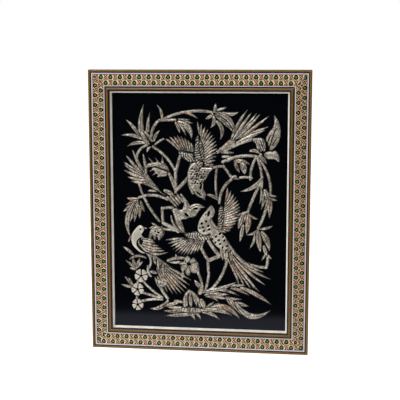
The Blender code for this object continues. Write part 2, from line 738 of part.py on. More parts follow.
def prism(points, way):
    # A closed body from a flat outline and the vector that it is drawn along
    bm = bmesh.new()
    face = bm.faces.new([bm.verts.new(point) for point in points])
    drawn = bmesh.ops.extrude_face_region(bm, geom=[face])
    moved = [item for item in drawn["geom"] if isinstance(item, bmesh.types.BMVert)]
    bmesh.ops.translate(bm, vec=way, verts=moved)
    bmesh.ops.recalc_face_normals(bm, faces=bm.faces[:])
    return bm


def notch(number):
    pitch = HANGER_LENGTH * TOOTHED_SHARE / TOOTH_COUNT
    x = pitch * (number + 0.5 - TOOTH_COUNT / 2)
    low = -HANGER_HEIGHT / 2
    depth = 1.5 * TOOTH_HEIGHT
    half = pitch * NOTCH_SHARE / 2 * depth / TOOTH_HEIGHT
    deep = -TAB_DROP - HANGER_THICKNESS
    base = low + TOOTH_HEIGHT - depth
    return prism(
        [(x - half, deep, base), (x + half, deep, base), (x, deep, low + TOOTH_HEIGHT)],
        (0.0, FRAME_BACK_Y - deep, 0.0),
    )


def nail_cylinder(diameter, start_y, end_y, x):
    bm = bmesh.new()
    middle = Matrix.Translation((x, (start_y + end_y) / 2, 0.0))
    bmesh.ops.create_cone(
        bm, cap_ends=True, segments=NAIL_SIDES,
        radius1=diameter / 2, radius2=diameter / 2, depth=end_y - start_y,
        matrix=middle @ Matrix.Rotation(math.radians(90), 4, "X"),
    )
    return bm


def build_hanger(collection, cutters, materials, top_rail):
    steel = materials["zinc plated steel"]
    strip = add_object("hanger_strip", prism(
        [(x, y, -HANGER_HEIGHT / 2) for x, y in strip_profile()], (0.0, 0.0, HANGER_HEIGHT),
    ), collection, steel)
    for number in range(TOOTH_COUNT):
        cut(strip, add_cutter(f"hanger_notch_{number}", notch(number), cutters))

    seat_y = -TAB_DROP - HANGER_THICKNESS - FIT_GAP
    open_y = FRAME_BACK_Y + FIT_GAP
    seat = add_cutter("hanger_seat", box(
        (HANGER_LENGTH + 2 * FIT_GAP, open_y - seat_y, HANGER_HEIGHT + 2 * FIT_GAP),
        (0.0, (open_y + seat_y) / 2, 0.0),
    ), cutters)
    pocket_z = -HANGER_HEIGHT / 2
    pocket = add_cutter("nail_pocket", box(
        (HANGER_LENGTH * TOOTHED_SHARE, open_y - seat_y + POCKET_DEPTH, POCKET_HEIGHT),
        (0.0, (open_y + seat_y - POCKET_DEPTH) / 2, pocket_z),
    ), cutters)
    cut(top_rail, seat)
    cut(top_rail, pocket)

    for side, x in (("left", -NAIL_SPACING / 2), ("right", NAIL_SPACING / 2)):
        head_start = -TAB_DROP + FIT_GAP
        tip_y = head_start - NAIL_LENGTH
        shank = nail_cylinder(NAIL_DIAMETER, tip_y, head_start + NAIL_HEAD_THICKNESS / 2, x)
        nail = add_object(f"{side}_hanger_nail", shank, collection, steel)
        head = add_cutter(f"{side}_nail_head", nail_cylinder(
            NAIL_HEAD_DIAMETER, head_start, head_start + NAIL_HEAD_THICKNESS, x), cutters)
        joined = nail.modifiers.new("head", "BOOLEAN")
        joined.operation = "UNION"
        joined.solver = "EXACT"
        joined.object = head
        hole = add_cutter(f"{side}_nail_hole", nail_cylinder(
            NAIL_DIAMETER + 2 * FIT_GAP, tip_y - FIT_GAP, open_y, x), cutters)
        cut(strip, hole)
        cut(top_rail, hole)
    return strip


def main():
    clear_scene()
    collection = make_collection("engraved_copper_plaque")
    cutters = make_collection("cutters")
    materials = {name: make_material(name) for name in MATERIALS}
    frame = build_frame(collection, materials)
    build_plate(collection, cutters, materials)
    build_board(collection, materials)
    build_hanger(collection, cutters, materials, frame["top_rail"])


main()
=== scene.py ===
# Engraved copper plaque with birds and flowers, in a khatam frame. Metres, +Z up, front faces -Y.

import math
import random

import bmesh
import bpy
import numpy as np
from mathutils import Matrix, Vector


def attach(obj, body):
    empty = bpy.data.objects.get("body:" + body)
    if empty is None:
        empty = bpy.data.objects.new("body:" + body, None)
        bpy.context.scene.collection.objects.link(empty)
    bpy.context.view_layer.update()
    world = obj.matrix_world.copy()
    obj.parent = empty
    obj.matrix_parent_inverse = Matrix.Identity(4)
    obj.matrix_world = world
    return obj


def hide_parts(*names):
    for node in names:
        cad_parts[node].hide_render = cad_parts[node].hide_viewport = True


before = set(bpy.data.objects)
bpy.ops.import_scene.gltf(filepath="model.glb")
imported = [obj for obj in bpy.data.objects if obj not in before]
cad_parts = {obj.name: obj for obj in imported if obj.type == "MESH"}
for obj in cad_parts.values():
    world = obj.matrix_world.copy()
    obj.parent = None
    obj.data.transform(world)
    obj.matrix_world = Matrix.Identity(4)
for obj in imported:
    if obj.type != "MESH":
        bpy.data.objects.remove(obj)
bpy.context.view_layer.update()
print("frame loaded:", len(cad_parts), "nodes")

# The frame's outer size, and where its front, back and middle stand
outer = {"width": 0.400, "height": 0.515, "front": -0.021, "middle": -0.2375}


def srgb(code):
    channels = [int(code[i:i + 2], 16) / 255 for i in (0, 2, 4)]
    return [c / 12.92 if c <= 0.04045 else ((c + 0.055) / 1.055) ** 2.4 for c in channels] + [1.0]


def startMaterial(name):
    material = bpy.data.materials.new(name)
    material.use_nodes = True
    return material, material.node_tree, material.node_tree.nodes["Principled BSDF"]


def addNode(tree, kind, settings=None, values=None, links=None):
    # values are put on the node's inputs, links are (input, node, output)
    node = tree.nodes.new(kind)
    for key, value in (settings or {}).items():
        setattr(node, key, value)
    for key, value in (values or {}).items():
        node.inputs[key].default_value = value
    for key, source, output in (links or []):
        tree.links.new(source.outputs[output], node.inputs[key])
    return node


def setRamp(node, stops, interpolation="LINEAR"):
    ramp = node.color_ramp
    ramp.interpolation = interpolation
    while len(ramp.elements) > 1:
        ramp.elements.remove(ramp.elements[-1])
    ramp.elements[0].position, ramp.elements[0].color = stops[0][0], srgb(stops[0][1])
    for position, code in stops[1:]:
        ramp.elements.new(position).color = srgb(code)


def mixColours(tree, kind, factor, first, second):
    # factor, first and second are (node, output), a number or a hex colour
    node = addNode(tree, "ShaderNodeMix", {"data_type": "RGBA", "blend_type": kind})
    for socket, given in ((node.inputs[0], factor), (node.inputs[6], first), (node.inputs[7], second)):
        if isinstance(given, tuple):
            tree.links.new(given[0].outputs[given[1]], socket)
        else:
            socket.default_value = srgb(given) if isinstance(given, str) else given
    return node, 2


def linkTo(tree, shader, name, source):
    tree.links.new(source[0].outputs[source[1]], shader.inputs[name])


def addBump(tree, shader, source, strength, distance):
    bump = addNode(tree, "ShaderNodeBump", values={"Strength": strength, "Distance": distance},
                   links=[("Height", source[0], source[1])])
    tree.links.new(bump.outputs["Normal"], shader.inputs["Normal"])


def objectNoise(tree, perMillimetre, detail=3.0, stretch=(1.0, 1.0, 1.0)):
    # Noise with grains of 1 / perMillimetre mm, drawn out by stretch
    place = addNode(tree, "ShaderNodeTexCoord")
    scaled = addNode(tree, "ShaderNodeMapping", values={"Scale": stretch},
                     links=[("Vector", place, "Object")])
    return addNode(tree, "ShaderNodeTexNoise",
                   values={"Scale": perMillimetre * 1000, "Detail": detail, "Roughness": 0.55},
                   links=[("Vector", scaled, "Vector")])


# Camera: where the photograph was taken from, with its lens and its slight roll
view = {"place": (0.2193, -1.7263, 0.0485), "rx": 0.151942, "ry": -0.124863, "rz": -0.018535,
        "lens": 86.9, "sensor": 36.0}


def setCamera():
    def turn(axis, angle):
        return Matrix.Rotation(angle, 3, axis)

    # Rows of this turn are the camera's axes in the plaque's own x, y (up) and z (to the viewer)
    axes = turn("Z", view["rz"]) @ turn("Y", view["ry"]) @ turn("X", view["rx"])
    right, up, back = (Vector((row[0], -row[2], row[1])) for row in axes)
    camera = bpy.data.cameras.new("camera")
    camera.sensor_width = view["sensor"]
    camera.lens = view["lens"]
    camera.clip_start = 0.05
    holder = bpy.data.objects.new("camera", camera)
    bpy.context.scene.collection.objects.link(holder)
    turned = Matrix((right, up, back)).transposed().to_4x4()
    holder.matrix_world = Matrix.Translation(view["place"]) @ turned
    bpy.context.scene.camera = holder


setCamera()
print("camera set")

# Strips across each rail: inset from the outer edge and depth behind the foremost plane, in mm
rail = {"gap": 0.3, "mitre": 0.04, "seat": 3.0, "rise": 0.7, "plateFront": 10.6,
        "outerWidth": 8.5, "outerDepth": 1.2, "outerBead": 3.8, "outerDark": 5.5, "outerTan": 6.1,
        "outerWhite": 8.1, "khatamWidth": 18.8, "crown": 0.6, "innerWidth": 9.3, "innerDepth": 1.4,
        "innerWhite": 1.7, "innerTan": 2.2, "innerLines": 4.4, "innerBead": 3.6, "slipWidth": 4.0,
        "slipTop": 4.0, "slipSlope": 4.6, "slipEase": 0.5, "slipFlat": 0.7, "slipDrop": 0.15,
        "slipHollow": 0.20}
rail["khatamStart"] = rail["outerWidth"] + rail["gap"]
rail["innerStart"] = rail["khatamStart"] + rail["khatamWidth"] + rail["gap"]
rail["slipStart"] = rail["innerStart"] + rail["innerWidth"] + rail["gap"]
rail["width"] = rail["slipStart"] + rail["slipWidth"]

# Each side: its length, its middle at the outer edge, the way along it and the way inwards
halfWidth, halfHeight = outer["width"] / 2, outer["height"] / 2
sides = {
    "top": (outer["width"], (0, outer["middle"] + halfHeight), (1, 0), (0, -1)),
    "right": (outer["height"], (halfWidth, outer["middle"]), (0, -1), (-1, 0)),
    "bottom": (outer["width"], (0, outer["middle"] - halfHeight), (-1, 0), (0, 1)),
    "left": (outer["height"], (-halfWidth, outer["middle"]), (0, 1), (1, 0)),
}


def placeOnSide(side, along, inset, depth):
    # along and inset in mm, depth in mm behind the foremost plane
    (x, z), (alongX, alongZ), (inX, inZ) = sides[side][1:]
    return (x + (along * alongX + inset * inX) / 1000,
            outer["front"] + depth / 1000,
            z + (along * alongZ + inset * inZ) / 1000)


def addPiece(name, mesh, materials, replaced):
    for material in materials:
        mesh.materials.append(material)
    piece = bpy.data.objects.new(name, mesh)
    bpy.context.scene.collection.objects.link(piece)
    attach(piece, "root")
    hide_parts(*replaced)
    return piece


# Finishes of the frame

def makeInlaidLine(name, code, roughness):
    # Thin straight inlay under clear varnish: the eye sees an even line with a slow change of tone
    material, tree, shader = startMaterial(name)
    noise = objectNoise(tree, 0.12)
    tone = mixColours(tree, "MULTIPLY", 0.35, code, (noise, "Fac"))
    linkTo(tree, shader, "Base Color", tone)
    shader.inputs["Roughness"].default_value = roughness
    shader.inputs["Specular IOR Level"].default_value = 0.2
    return material


def makeBeadMarquetry(name, dark, light, middle, pitch):
    # Slanted slips of light and dark wood glued side by side and rounded over: a fine zigzag
    # with a spine of its own tone. Real slips are about 0.6 mm; they are drawn at pitch mm to show.
    material, tree, shader = startMaterial(name)
    place = addNode(tree, "ShaderNodeUVMap", {"uv_map": "along"})
    split = addNode(tree, "ShaderNodeSeparateXYZ", links=[("Vector", place, "UV")])
    across = addNode(tree, "ShaderNodeMath", {"operation": "PINGPONG"}, {1: 0.5},
                     [(0, split, "Y")])
    slant = addNode(tree, "ShaderNodeMath", {"operation": "MULTIPLY_ADD"},
                    {1: 1000 / pitch}, [(0, split, "X"), (2, across, 0)])
    wave = addNode(tree, "ShaderNodeMath", {"operation": "PINGPONG"}, {1: 0.5}, [(0, slant, 0)])
    slips = addNode(tree, "ShaderNodeValToRGB", links=[("Fac", wave, 0)])
    setRamp(slips, [(0.0, dark), (0.20, dark), (0.30, light), (1.0, light)])
    spine = addNode(tree, "ShaderNodeValToRGB", links=[("Fac", split, "Y")])
    setRamp(spine, [(0.0, "6B4A2A"), (0.14, "FFFFFF"), (0.40, "FFFFFF"), (0.50, middle),
                    (0.60, "FFFFFF"), (0.88, "FFFFFF"), (1.0, "5A3C22")])
    noise = objectNoise(tree, 0.05)
    spined = mixColours(tree, "MULTIPLY", 0.85, (slips, "Color"), (spine, "Color"))
    aged = mixColours(tree, "MULTIPLY", 0.30, spined, (noise, "Fac"))
    linkTo(tree, shader, "Base Color", aged)
    shader.inputs["Roughness"].default_value = 0.38
    shader.inputs["Specular IOR Level"].default_value = 0.15
    shader.inputs["Coat Weight"].default_value = 0.2
    shader.inputs["Coat Roughness"].default_value = 0.10
    addBump(tree, shader, (wave, 0), 0.15, 0.0001)
    return material


def makeKhatam():
    # Thin triangular rods of dyed wood, bone and brass glued into flowers and sawn across. Each
    # end of a rod keeps its own tone, and old clear varnish over all gives a soft gloss.
    material, tree, shader = startMaterial("varnished_khatam")
    rods = addNode(tree, "ShaderNodeAttribute", {"attribute_name": "rod"})
    noise = objectNoise(tree, 0.8, 2.0)
    worn = mixColours(tree, "MULTIPLY", 0.25, (rods, "Color"), (noise, "Color"))
    linkTo(tree, shader, "Base Color", worn)
    shader.inputs["Roughness"].default_value = 0.45
    shader.inputs["Specular IOR Level"].default_value = 0.12
    shader.inputs["Coat Weight"].default_value = 0.15
    shader.inputs["Coat Roughness"].default_value = 0.10
    return material


def makeBone():
    # Camel bone, sawn and scraped: off-white, satin, with faint streaks along its length
    material, tree, shader = startMaterial("camel_bone")
    streaks = objectNoise(tree, 0.10, 4.0)
    tones = addNode(tree, "ShaderNodeValToRGB", links=[("Fac", streaks, "Fac")])
    setRamp(tones, [(0.25, "BAB5AC"), (0.55, "CECAC2"), (0.80, "DAD6CE")])
    linkTo(tree, shader, "Base Color", (tones, "Color"))
    shader.inputs["Roughness"].default_value = 0.42
    addBump(tree, shader, (streaks, "Fac"), 0.08, 0.0001)
    return material


def makeWalnut():
    # Walnut, planed and oiled: dark brown, with grain lines about 1.5 mm apart along the rail
    material, tree, shader = startMaterial("oiled_walnut")
    grain = objectNoise(tree, 0.35, 5.0, (0.15, 1.0, 1.0))
    tones = addNode(tree, "ShaderNodeValToRGB", links=[("Fac", grain, "Fac")])
    setRamp(tones, [(0.30, "2A1A10"), (0.50, "4A3020"), (0.72, "6A4830")])
    linkTo(tree, shader, "Base Color", (tones, "Color"))
    shader.inputs["Roughness"].default_value = 0.48
    addBump(tree, shader, (grain, "Fac"), 0.20, 0.0002)
    return material


def makeHardboard():
    # Pressed wood fibre: matt brown, mottled, with fibres about 1 mm long
    material, tree, shader = startMaterial("pressed_hardboard")
    fibres = objectNoise(tree, 0.9, 4.0)
    clouds = objectNoise(tree, 0.02, 3.0)
    tones = addNode(tree, "ShaderNodeValToRGB", links=[("Fac", fibres, "Fac")])
    setRamp(tones, [(0.30, "5A3D26"), (0.50, "75532F"), (0.70, "8C6A45")])
    clouded = mixColours(tree, "MULTIPLY", 0.30, (tones, "Color"), (clouds, "Fac"))
    linkTo(tree, shader, "Base Color", clouded)
    shader.inputs["Roughness"].default_value = 0.78
    addBump(tree, shader, (fibres, "Fac"), 0.35, 0.0002)
    return material


def makeZinc():
    # Steel strip, punched and zinc plated: pale grey with a faint crystalline mottle
    material, tree, shader = startMaterial("zinc_plated_steel")
    crystals = addNode(tree, "ShaderNodeTexVoronoi", values={"Scale": 600.0},
                       links=[("Vector", addNode(tree, "ShaderNodeTexCoord"), "Object")])
    tones = addNode(tree, "ShaderNodeValToRGB", links=[("Fac", crystals, "Distance")])
    setRamp(tones, [(0.0, "9A9C9C"), (0.6, "B8BABA"), (1.0, "C8CACA")])
    linkTo(tree, shader, "Base Color", (tones, "Color"))
    shader.inputs["Metallic"].default_value = 1.0
    shader.inputs["Roughness"].default_value = 0.38
    return material


woods = {
    "outerBead": makeBeadMarquetry("outer_bead_marquetry", "30200A", "8C661C", "D0A43C", 1.9),
    "innerBead": makeBeadMarquetry("inner_bead_marquetry", "3C280A", "8C641C", "684812", 1.9),
    "dark": makeInlaidLine("ebony_line", "17110F", 0.40),
    "white": makeInlaidLine("bone_line", "BEBCC0", 0.40),
    "tan": makeInlaidLine("rosewood_line", "4C3318", 0.40),
    "khatam": makeKhatam(),
    "bone": makeBone(),
    "walnut": makeWalnut(),
    "hardboard": makeHardboard(),
    "zinc": makeZinc(),
}
print("frame finishes made")


# A moulding's finishes in their order, and the span that stands for a face with no pattern across
bead, darkLine, tanLine, whiteLine = range(4)
plainSpan = (0.0, 10.0)


def beadArc(start, width, depth, steps=14):
    arc = []
    for i in range(steps + 1):
        share = i / steps
        arc.append((start + width * share, depth - rail["rise"] * math.sin(math.pi * share)))
    return arc


def drawStrip(name, side, profile, finishes, faceFinish, replaced):
    # A closed profile drawn along one side and mitred. faceFinish gives, for each edge of the
    # profile, which finish its face takes; "along" carries distance along and share across.
    halfLength = sides[side][0] * 500
    verts, faces, finishOf, places = [], [], [], []
    for end in (-1, 1):
        for inset, depth in profile:
            reach = halfLength - inset - rail["mitre"]
            verts.append(placeOnSide(side, end * reach, inset, depth))
    count = len(profile)
    for i in range(count):
        j = (i + 1) % count
        faces.append((i, count + i, count + j, j))
        index, low, high = faceFinish(profile[i], profile[j])
        finishOf.append(index)
        a, b = profile[i][0], profile[j][0]
        span = max(high - low, 0.001)
        for end, inset in ((-1, a), (1, a), (1, b), (-1, b)):
            along = end * (halfLength - inset) / 1000
            places.append((along, (inset - low) / span))
    faces.append(tuple(range(count)))
    faces.append(tuple(reversed(range(count, 2 * count))))
    for ring in (profile, profile[::-1]):
        finishOf.append(0)
        places.extend((inset / 1000, 0.0) for inset, depth in ring)
    mesh = bpy.data.meshes.new(name)
    mesh.from_pydata(verts, [], faces)
    mesh.polygons.foreach_set("material_index", finishOf)
    layer = mesh.uv_layers.new(name="along")
    layer.data.foreach_set("uv", [value for pair in places for value in pair])
    mesh.validate()
    # The profile runs the other way round, so the faces are turned to look outwards
    mesh.flip_normals()
    return addPiece(name, mesh, finishes, replaced)


def isHidden(a, b):
    # An upright edge of a moulding's profile, or the one that it sits on
    return a[0] == b[0] or (a[1] == rail["seat"] and b[1] == rail["seat"])


def outerMoulding(side):
    # Rounded bead, then a dark line and a white line let into a flat
    depth, end = rail["outerDepth"], rail["outerWidth"]
    profile = beadArc(0.0, rail["outerBead"], depth)
    profile += [(rail["outerDark"], depth), (rail["outerTan"], depth), (rail["outerWhite"], depth)]
    profile += [(end, depth), (end, rail["seat"]), (0.0, rail["seat"])]

    def finishFor(a, b):
        middle = (a[0] + b[0]) / 2
        if isHidden(a, b):
            return tanLine, *plainSpan
        if middle < rail["outerBead"]:
            return bead, 0.0, rail["outerBead"]
        if middle < rail["outerDark"]:
            return darkLine, *plainSpan
        if middle < rail["outerTan"] or middle > rail["outerWhite"]:
            return tanLine, *plainSpan
        return whiteLine, *plainSpan

    finishes = [woods["outerBead"], woods["dark"], woods["tan"], woods["white"]]
    drawStrip(side + "_outer_moulding_marquetry", side, profile, finishes, finishFor,
              [side + "_outer_moulding"])


def innerMoulding(side):
    # White line, dark line, rounded bead and a last dark line
    start, depth = rail["innerStart"], rail["innerDepth"]
    beadStart = start + rail["innerLines"]
    end = start + rail["innerWidth"]
    profile = [(start, depth), (start + rail["innerWhite"], depth), (start + rail["innerTan"], depth)]
    profile += beadArc(beadStart, rail["innerBead"], depth)
    profile += [(end, depth), (end, rail["seat"]), (start, rail["seat"])]

    def finishFor(a, b):
        middle = (a[0] + b[0]) / 2 - start
        if isHidden(a, b):
            return tanLine, *plainSpan
        if middle < rail["innerWhite"]:
            return whiteLine, *plainSpan
        if middle < rail["innerTan"]:
            return tanLine, *plainSpan
        if middle < rail["innerLines"] or middle > rail["innerLines"] + rail["innerBead"]:
            return darkLine, *plainSpan
        return bead, beadStart, beadStart + rail["innerBead"]

    finishes = [woods["innerBead"], woods["dark"], woods["tan"], woods["white"]]
    drawStrip(side + "_inner_moulding_marquetry", side, profile, finishes, finishFor,
              [side + "_inner_moulding"])


def boneSlip(side):
    # Eased at its upper edge and slightly hollow on its slope
    start, end = rail["slipStart"], rail["width"]
    top, slope, ease = rail["slipTop"], rail["slipSlope"], rail["slipEase"]
    profile = [(start, top + ease)]
    for i in range(1, 5):
        angle = math.pi / 2 * i / 4
        profile.append((start + ease * (1 - math.cos(angle)), top + ease * (1 - math.sin(angle))))
    flatEnd, brink = start + ease + rail["slipFlat"], top + rail["slipDrop"]
    profile.append((flatEnd, brink))
    for i in range(1, 6):
        share = i / 5
        hollow = rail["slipHollow"] * math.sin(math.pi * share)
        profile.append((flatEnd + (end - flatEnd) * share, brink + slope * share + hollow))
    profile += [(end, rail["plateFront"] - rail["gap"]), (start, rail["plateFront"] - rail["gap"])]

    def finishFor(a, b):
        # Its flat top takes the dark line's finish, so that the dark line beside it shows wider
        onTop = max(a[0], b[0]) < flatEnd + 0.01 and max(a[1], b[1]) < top + 2 * ease
        return (1 if onTop else 0), *plainSpan

    drawStrip(side + "_bone_slip_scraped", side, profile, [woods["bone"], woods["dark"]], finishFor,
              [side + "_bone_slip"])


# Khatam: rod sides of 1.45 mm on a triangular grid. Twelve rods make one flower's pitch, and the
# two rows of flowers stand four rod rows either side of the middle, half a pitch apart.
khatam = {"rod": 1.45, "rowHeight": 1.3125, "pitch": 12, "rowsOut": 4,
          "green": "061B0B", "deepGreen": "031006", "heart": "A09C50", "brass": "484A20",
          "bone": "DCCDA8", "orange": "8C5024", "red": "4C1E10", "ebony": "241A18", "seed": 4,
          "shift": {"top": -2.0, "right": 0.0, "bottom": 4.0, "left": 2.6}}


def rodColour(along, across, pointsUp, draw):
    rod, rowHeight = khatam["rod"], khatam["rowHeight"]
    best = 9.0
    for sign, shift in ((1, 0.0), (-1, 0.5)):
        pitch = khatam["pitch"] * rod
        centre = (round(along / pitch - shift) + shift) * pitch
        u = (along - centre) / rod
        v = (across - sign * khatam["rowsOut"] * rowHeight) / rowHeight
        best = min(best, max(abs(v), abs(u + v / 2), abs(u - v / 2)))
    if best < 1.0:
        return khatam["heart"] if pointsUp else khatam["brass"]
    if best < 3.0 or (best < 3.7 and not pointsUp):
        return khatam["green"] if pointsUp or best < 1.9 else khatam["deepGreen"]
    if best < 4.1:
        return khatam["bone"]
    kind = (round(along / rod) + 2 * round(across / rowHeight)) % 3
    if pointsUp and kind == 0:
        return khatam["bone"]
    return (khatam["orange"], khatam["red"], khatam["red"])[kind if draw > 0.12 else 0]


def khatamBand(side):
    random.seed(khatam["seed"])
    halfLength = sides[side][0] * 500
    start, width = rail["khatamStart"], rail["khatamWidth"]
    rod, rowHeight = khatam["rod"], khatam["rowHeight"]
    rows = int(width / 2 / rowHeight)
    columns = int(halfLength / rod) + 2
    bm = bmesh.new()
    colours = bm.loops.layers.float_color.new("rod")

    def crownDepth(inset):
        share = min(max((inset - start) / width, 0.0), 1.0)
        return rail["crown"] * (1 - math.sin(math.pi * share))

    levels = [-width / 2] + [j * rowHeight for j in range(-rows, rows + 1)] + [width / 2]
    grid = []
    for j, level in enumerate(levels):
        row = min(max(j - 1, 0), 2 * rows) - rows
        shift = 0.5 * (row % 2)
        line = []
        for i in range(-columns, columns + 1):
            inset = start + width / 2 - level
            along = (i + shift) * rod
            vert = bm.verts.new(placeOnSide(side, along, inset, crownDepth(inset)))
            line.append((vert, along, level))
        grid.append((line, row % 2))
    for j in range(len(levels) - 1):
        (low, lowShift), (high, highShift) = grid[j], grid[j + 1]
        border = j in (0, len(levels) - 2)
        for i in range(2 * columns):
            if lowShift and not highShift:
                triples = [(low[i], low[i + 1], high[i + 1]), (low[i], high[i + 1], high[i])]
            else:
                triples = [(low[i], low[i + 1], high[i]), (low[i + 1], high[i + 1], high[i])]
            for pointsUp, triple in enumerate(triples):
                along = sum(corner[1] for corner in triple) / 3
                across = sum(corner[2] for corner in triple) / 3
                draw = random.random()
                if border:
                    colour = srgb(khatam["red"])
                else:
                    colour = srgb(rodColour(along - khatam["shift"][side], across, pointsUp == 0, draw))
                shade = 0.82 + 0.36 * random.random()
                face = bm.faces.new([corner[0] for corner in triple])
                for loop in face.loops:
                    loop[colours] = [min(c * shade, 1.0) for c in colour[:3]] + [1.0]
    # Cut the mitres, then draw the sawn sheet back to its seat
    for end in (-1, 1):
        reach = halfLength - rail["mitre"]
        corner = Vector(placeOnSide(side, end * reach, 0.0, 0.0))
        inner = Vector(placeOnSide(side, end * (reach - 10.0), 10.0, 0.0))
        outward = Vector(placeOnSide(side, end * reach, 10.0, 0.0)) - inner
        across = inner - corner
        normal = outward - across * (outward.dot(across) / across.length_squared)
        bmesh.ops.bisect_plane(bm, geom=bm.verts[:] + bm.edges[:] + bm.faces[:], dist=1e-7,
                               plane_co=corner, plane_no=normal, clear_outer=True)
    rim = [edge for edge in bm.edges if edge.is_boundary]
    drawn = bmesh.ops.extrude_edge_only(bm, edges=rim)
    lowered = {item for item in drawn["geom"] if isinstance(item, bmesh.types.BMVert)}
    for vert in lowered:
        vert.co.y = outer["front"] + rail["seat"] / 1000
    backEdges = [item for item in drawn["geom"] if isinstance(item, bmesh.types.BMEdge)
                 and all(v in lowered for v in item.verts)]
    bmesh.ops.edgeloop_fill(bm, edges=backEdges)
    bmesh.ops.recalc_face_normals(bm, faces=bm.faces[:])
    for face in bm.faces:
        for loop in face.loops:
            if loop[colours][3] == 0.0:
                loop[colours] = srgb(khatam["ebony"])
    mesh = bpy.data.meshes.new(side + "_khatam_rods")
    bm.to_mesh(mesh)
    bm.free()
    return addPiece(side + "_khatam_rods", mesh, [woods["khatam"]],
                    [side + "_khatam_band"])


for side in sides:
    outerMoulding(side)
    khatamBand(side)
    innerMoulding(side)
    boneSlip(side)
    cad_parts[side + "_rail"].data.materials[0] = woods["walnut"]
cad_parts["backing_board"].data.materials[0] = woods["hardboard"]
for node in ("hanger_strip", "left_hanger_nail", "right_hanger_nail"):
    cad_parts[node].data.materials[0] = woods["zinc"]
print("frame strips made")

# Relief. Each blade lies along a bowed line: the share of its width at its root, where it is
# widest, and the share left at its tip; then its layer, the engraving that covers it, and how
# far in mm its root reaches back into what it grows from.
stem, leaf, petal, tongue, feather, wedge, body, bud = (
    "stem", "leaf", "petal", "tongue", "feather", "wedge", "body", "bud")
blades = {
    stem: {"root": 0.95, "widest": 0.5, "tip": 0.85, "layer": 0, "barb": 0.35, "pitch": 1.7, "reach": 2.0},
    wedge: {"root": 0.22, "widest": 1.0, "tip": 1.0, "layer": 1, "barb": 0.8, "pitch": 1.6, "reach": 0.0},
    feather: {"root": 0.75, "widest": 0.5, "tip": 0.1, "layer": 2, "barb": 0.55, "pitch": 1.8, "reach": 2.5},
    leaf: {"root": 0.48, "widest": 0.45, "tip": 0.0, "layer": 3, "barb": 0.55, "pitch": 2.2, "reach": 3.0},
    petal: {"root": 0.55, "widest": 0.45, "tip": 0.0, "layer": 4, "barb": 0.45, "pitch": 2.4, "reach": 1.5},
    tongue: {"root": 0.9, "widest": 0.15, "tip": 0.0, "layer": 5, "barb": 0.6, "pitch": 2.2, "reach": 1.0},
    body: {"root": 0.55, "widest": 0.5, "tip": 0.45, "layer": 6, "barb": 0.5, "pitch": 2.2, "reach": 0.0},
    bud: {"root": 0.35, "widest": 0.5, "tip": 0.35, "layer": 8, "barb": 0.35, "pitch": 2.2, "reach": 0.0},
}
relief = {"riseShare": 0.34, "riseMost": 3.4, "shoulder": 0.28, "seam": 0.42, "featherSeam": 0.58,
          "vein": 0.42, "veinFrom": 2.6, "fanFill": 1.10, "markDepth": 0.6, "spotMore": 0.3,
          "far": 3.0, "seed": 11}

# The plate in mm: the pitch of its points where figures lie, how far they reach from its middle,
# its half width and height, and its thickness
sheet = {"cell": 0.6, "reachX": 147.0, "reachZ": 204.0, "halfWidth": 163.7, "halfHeight": 221.2,
         "thick": 1.2}

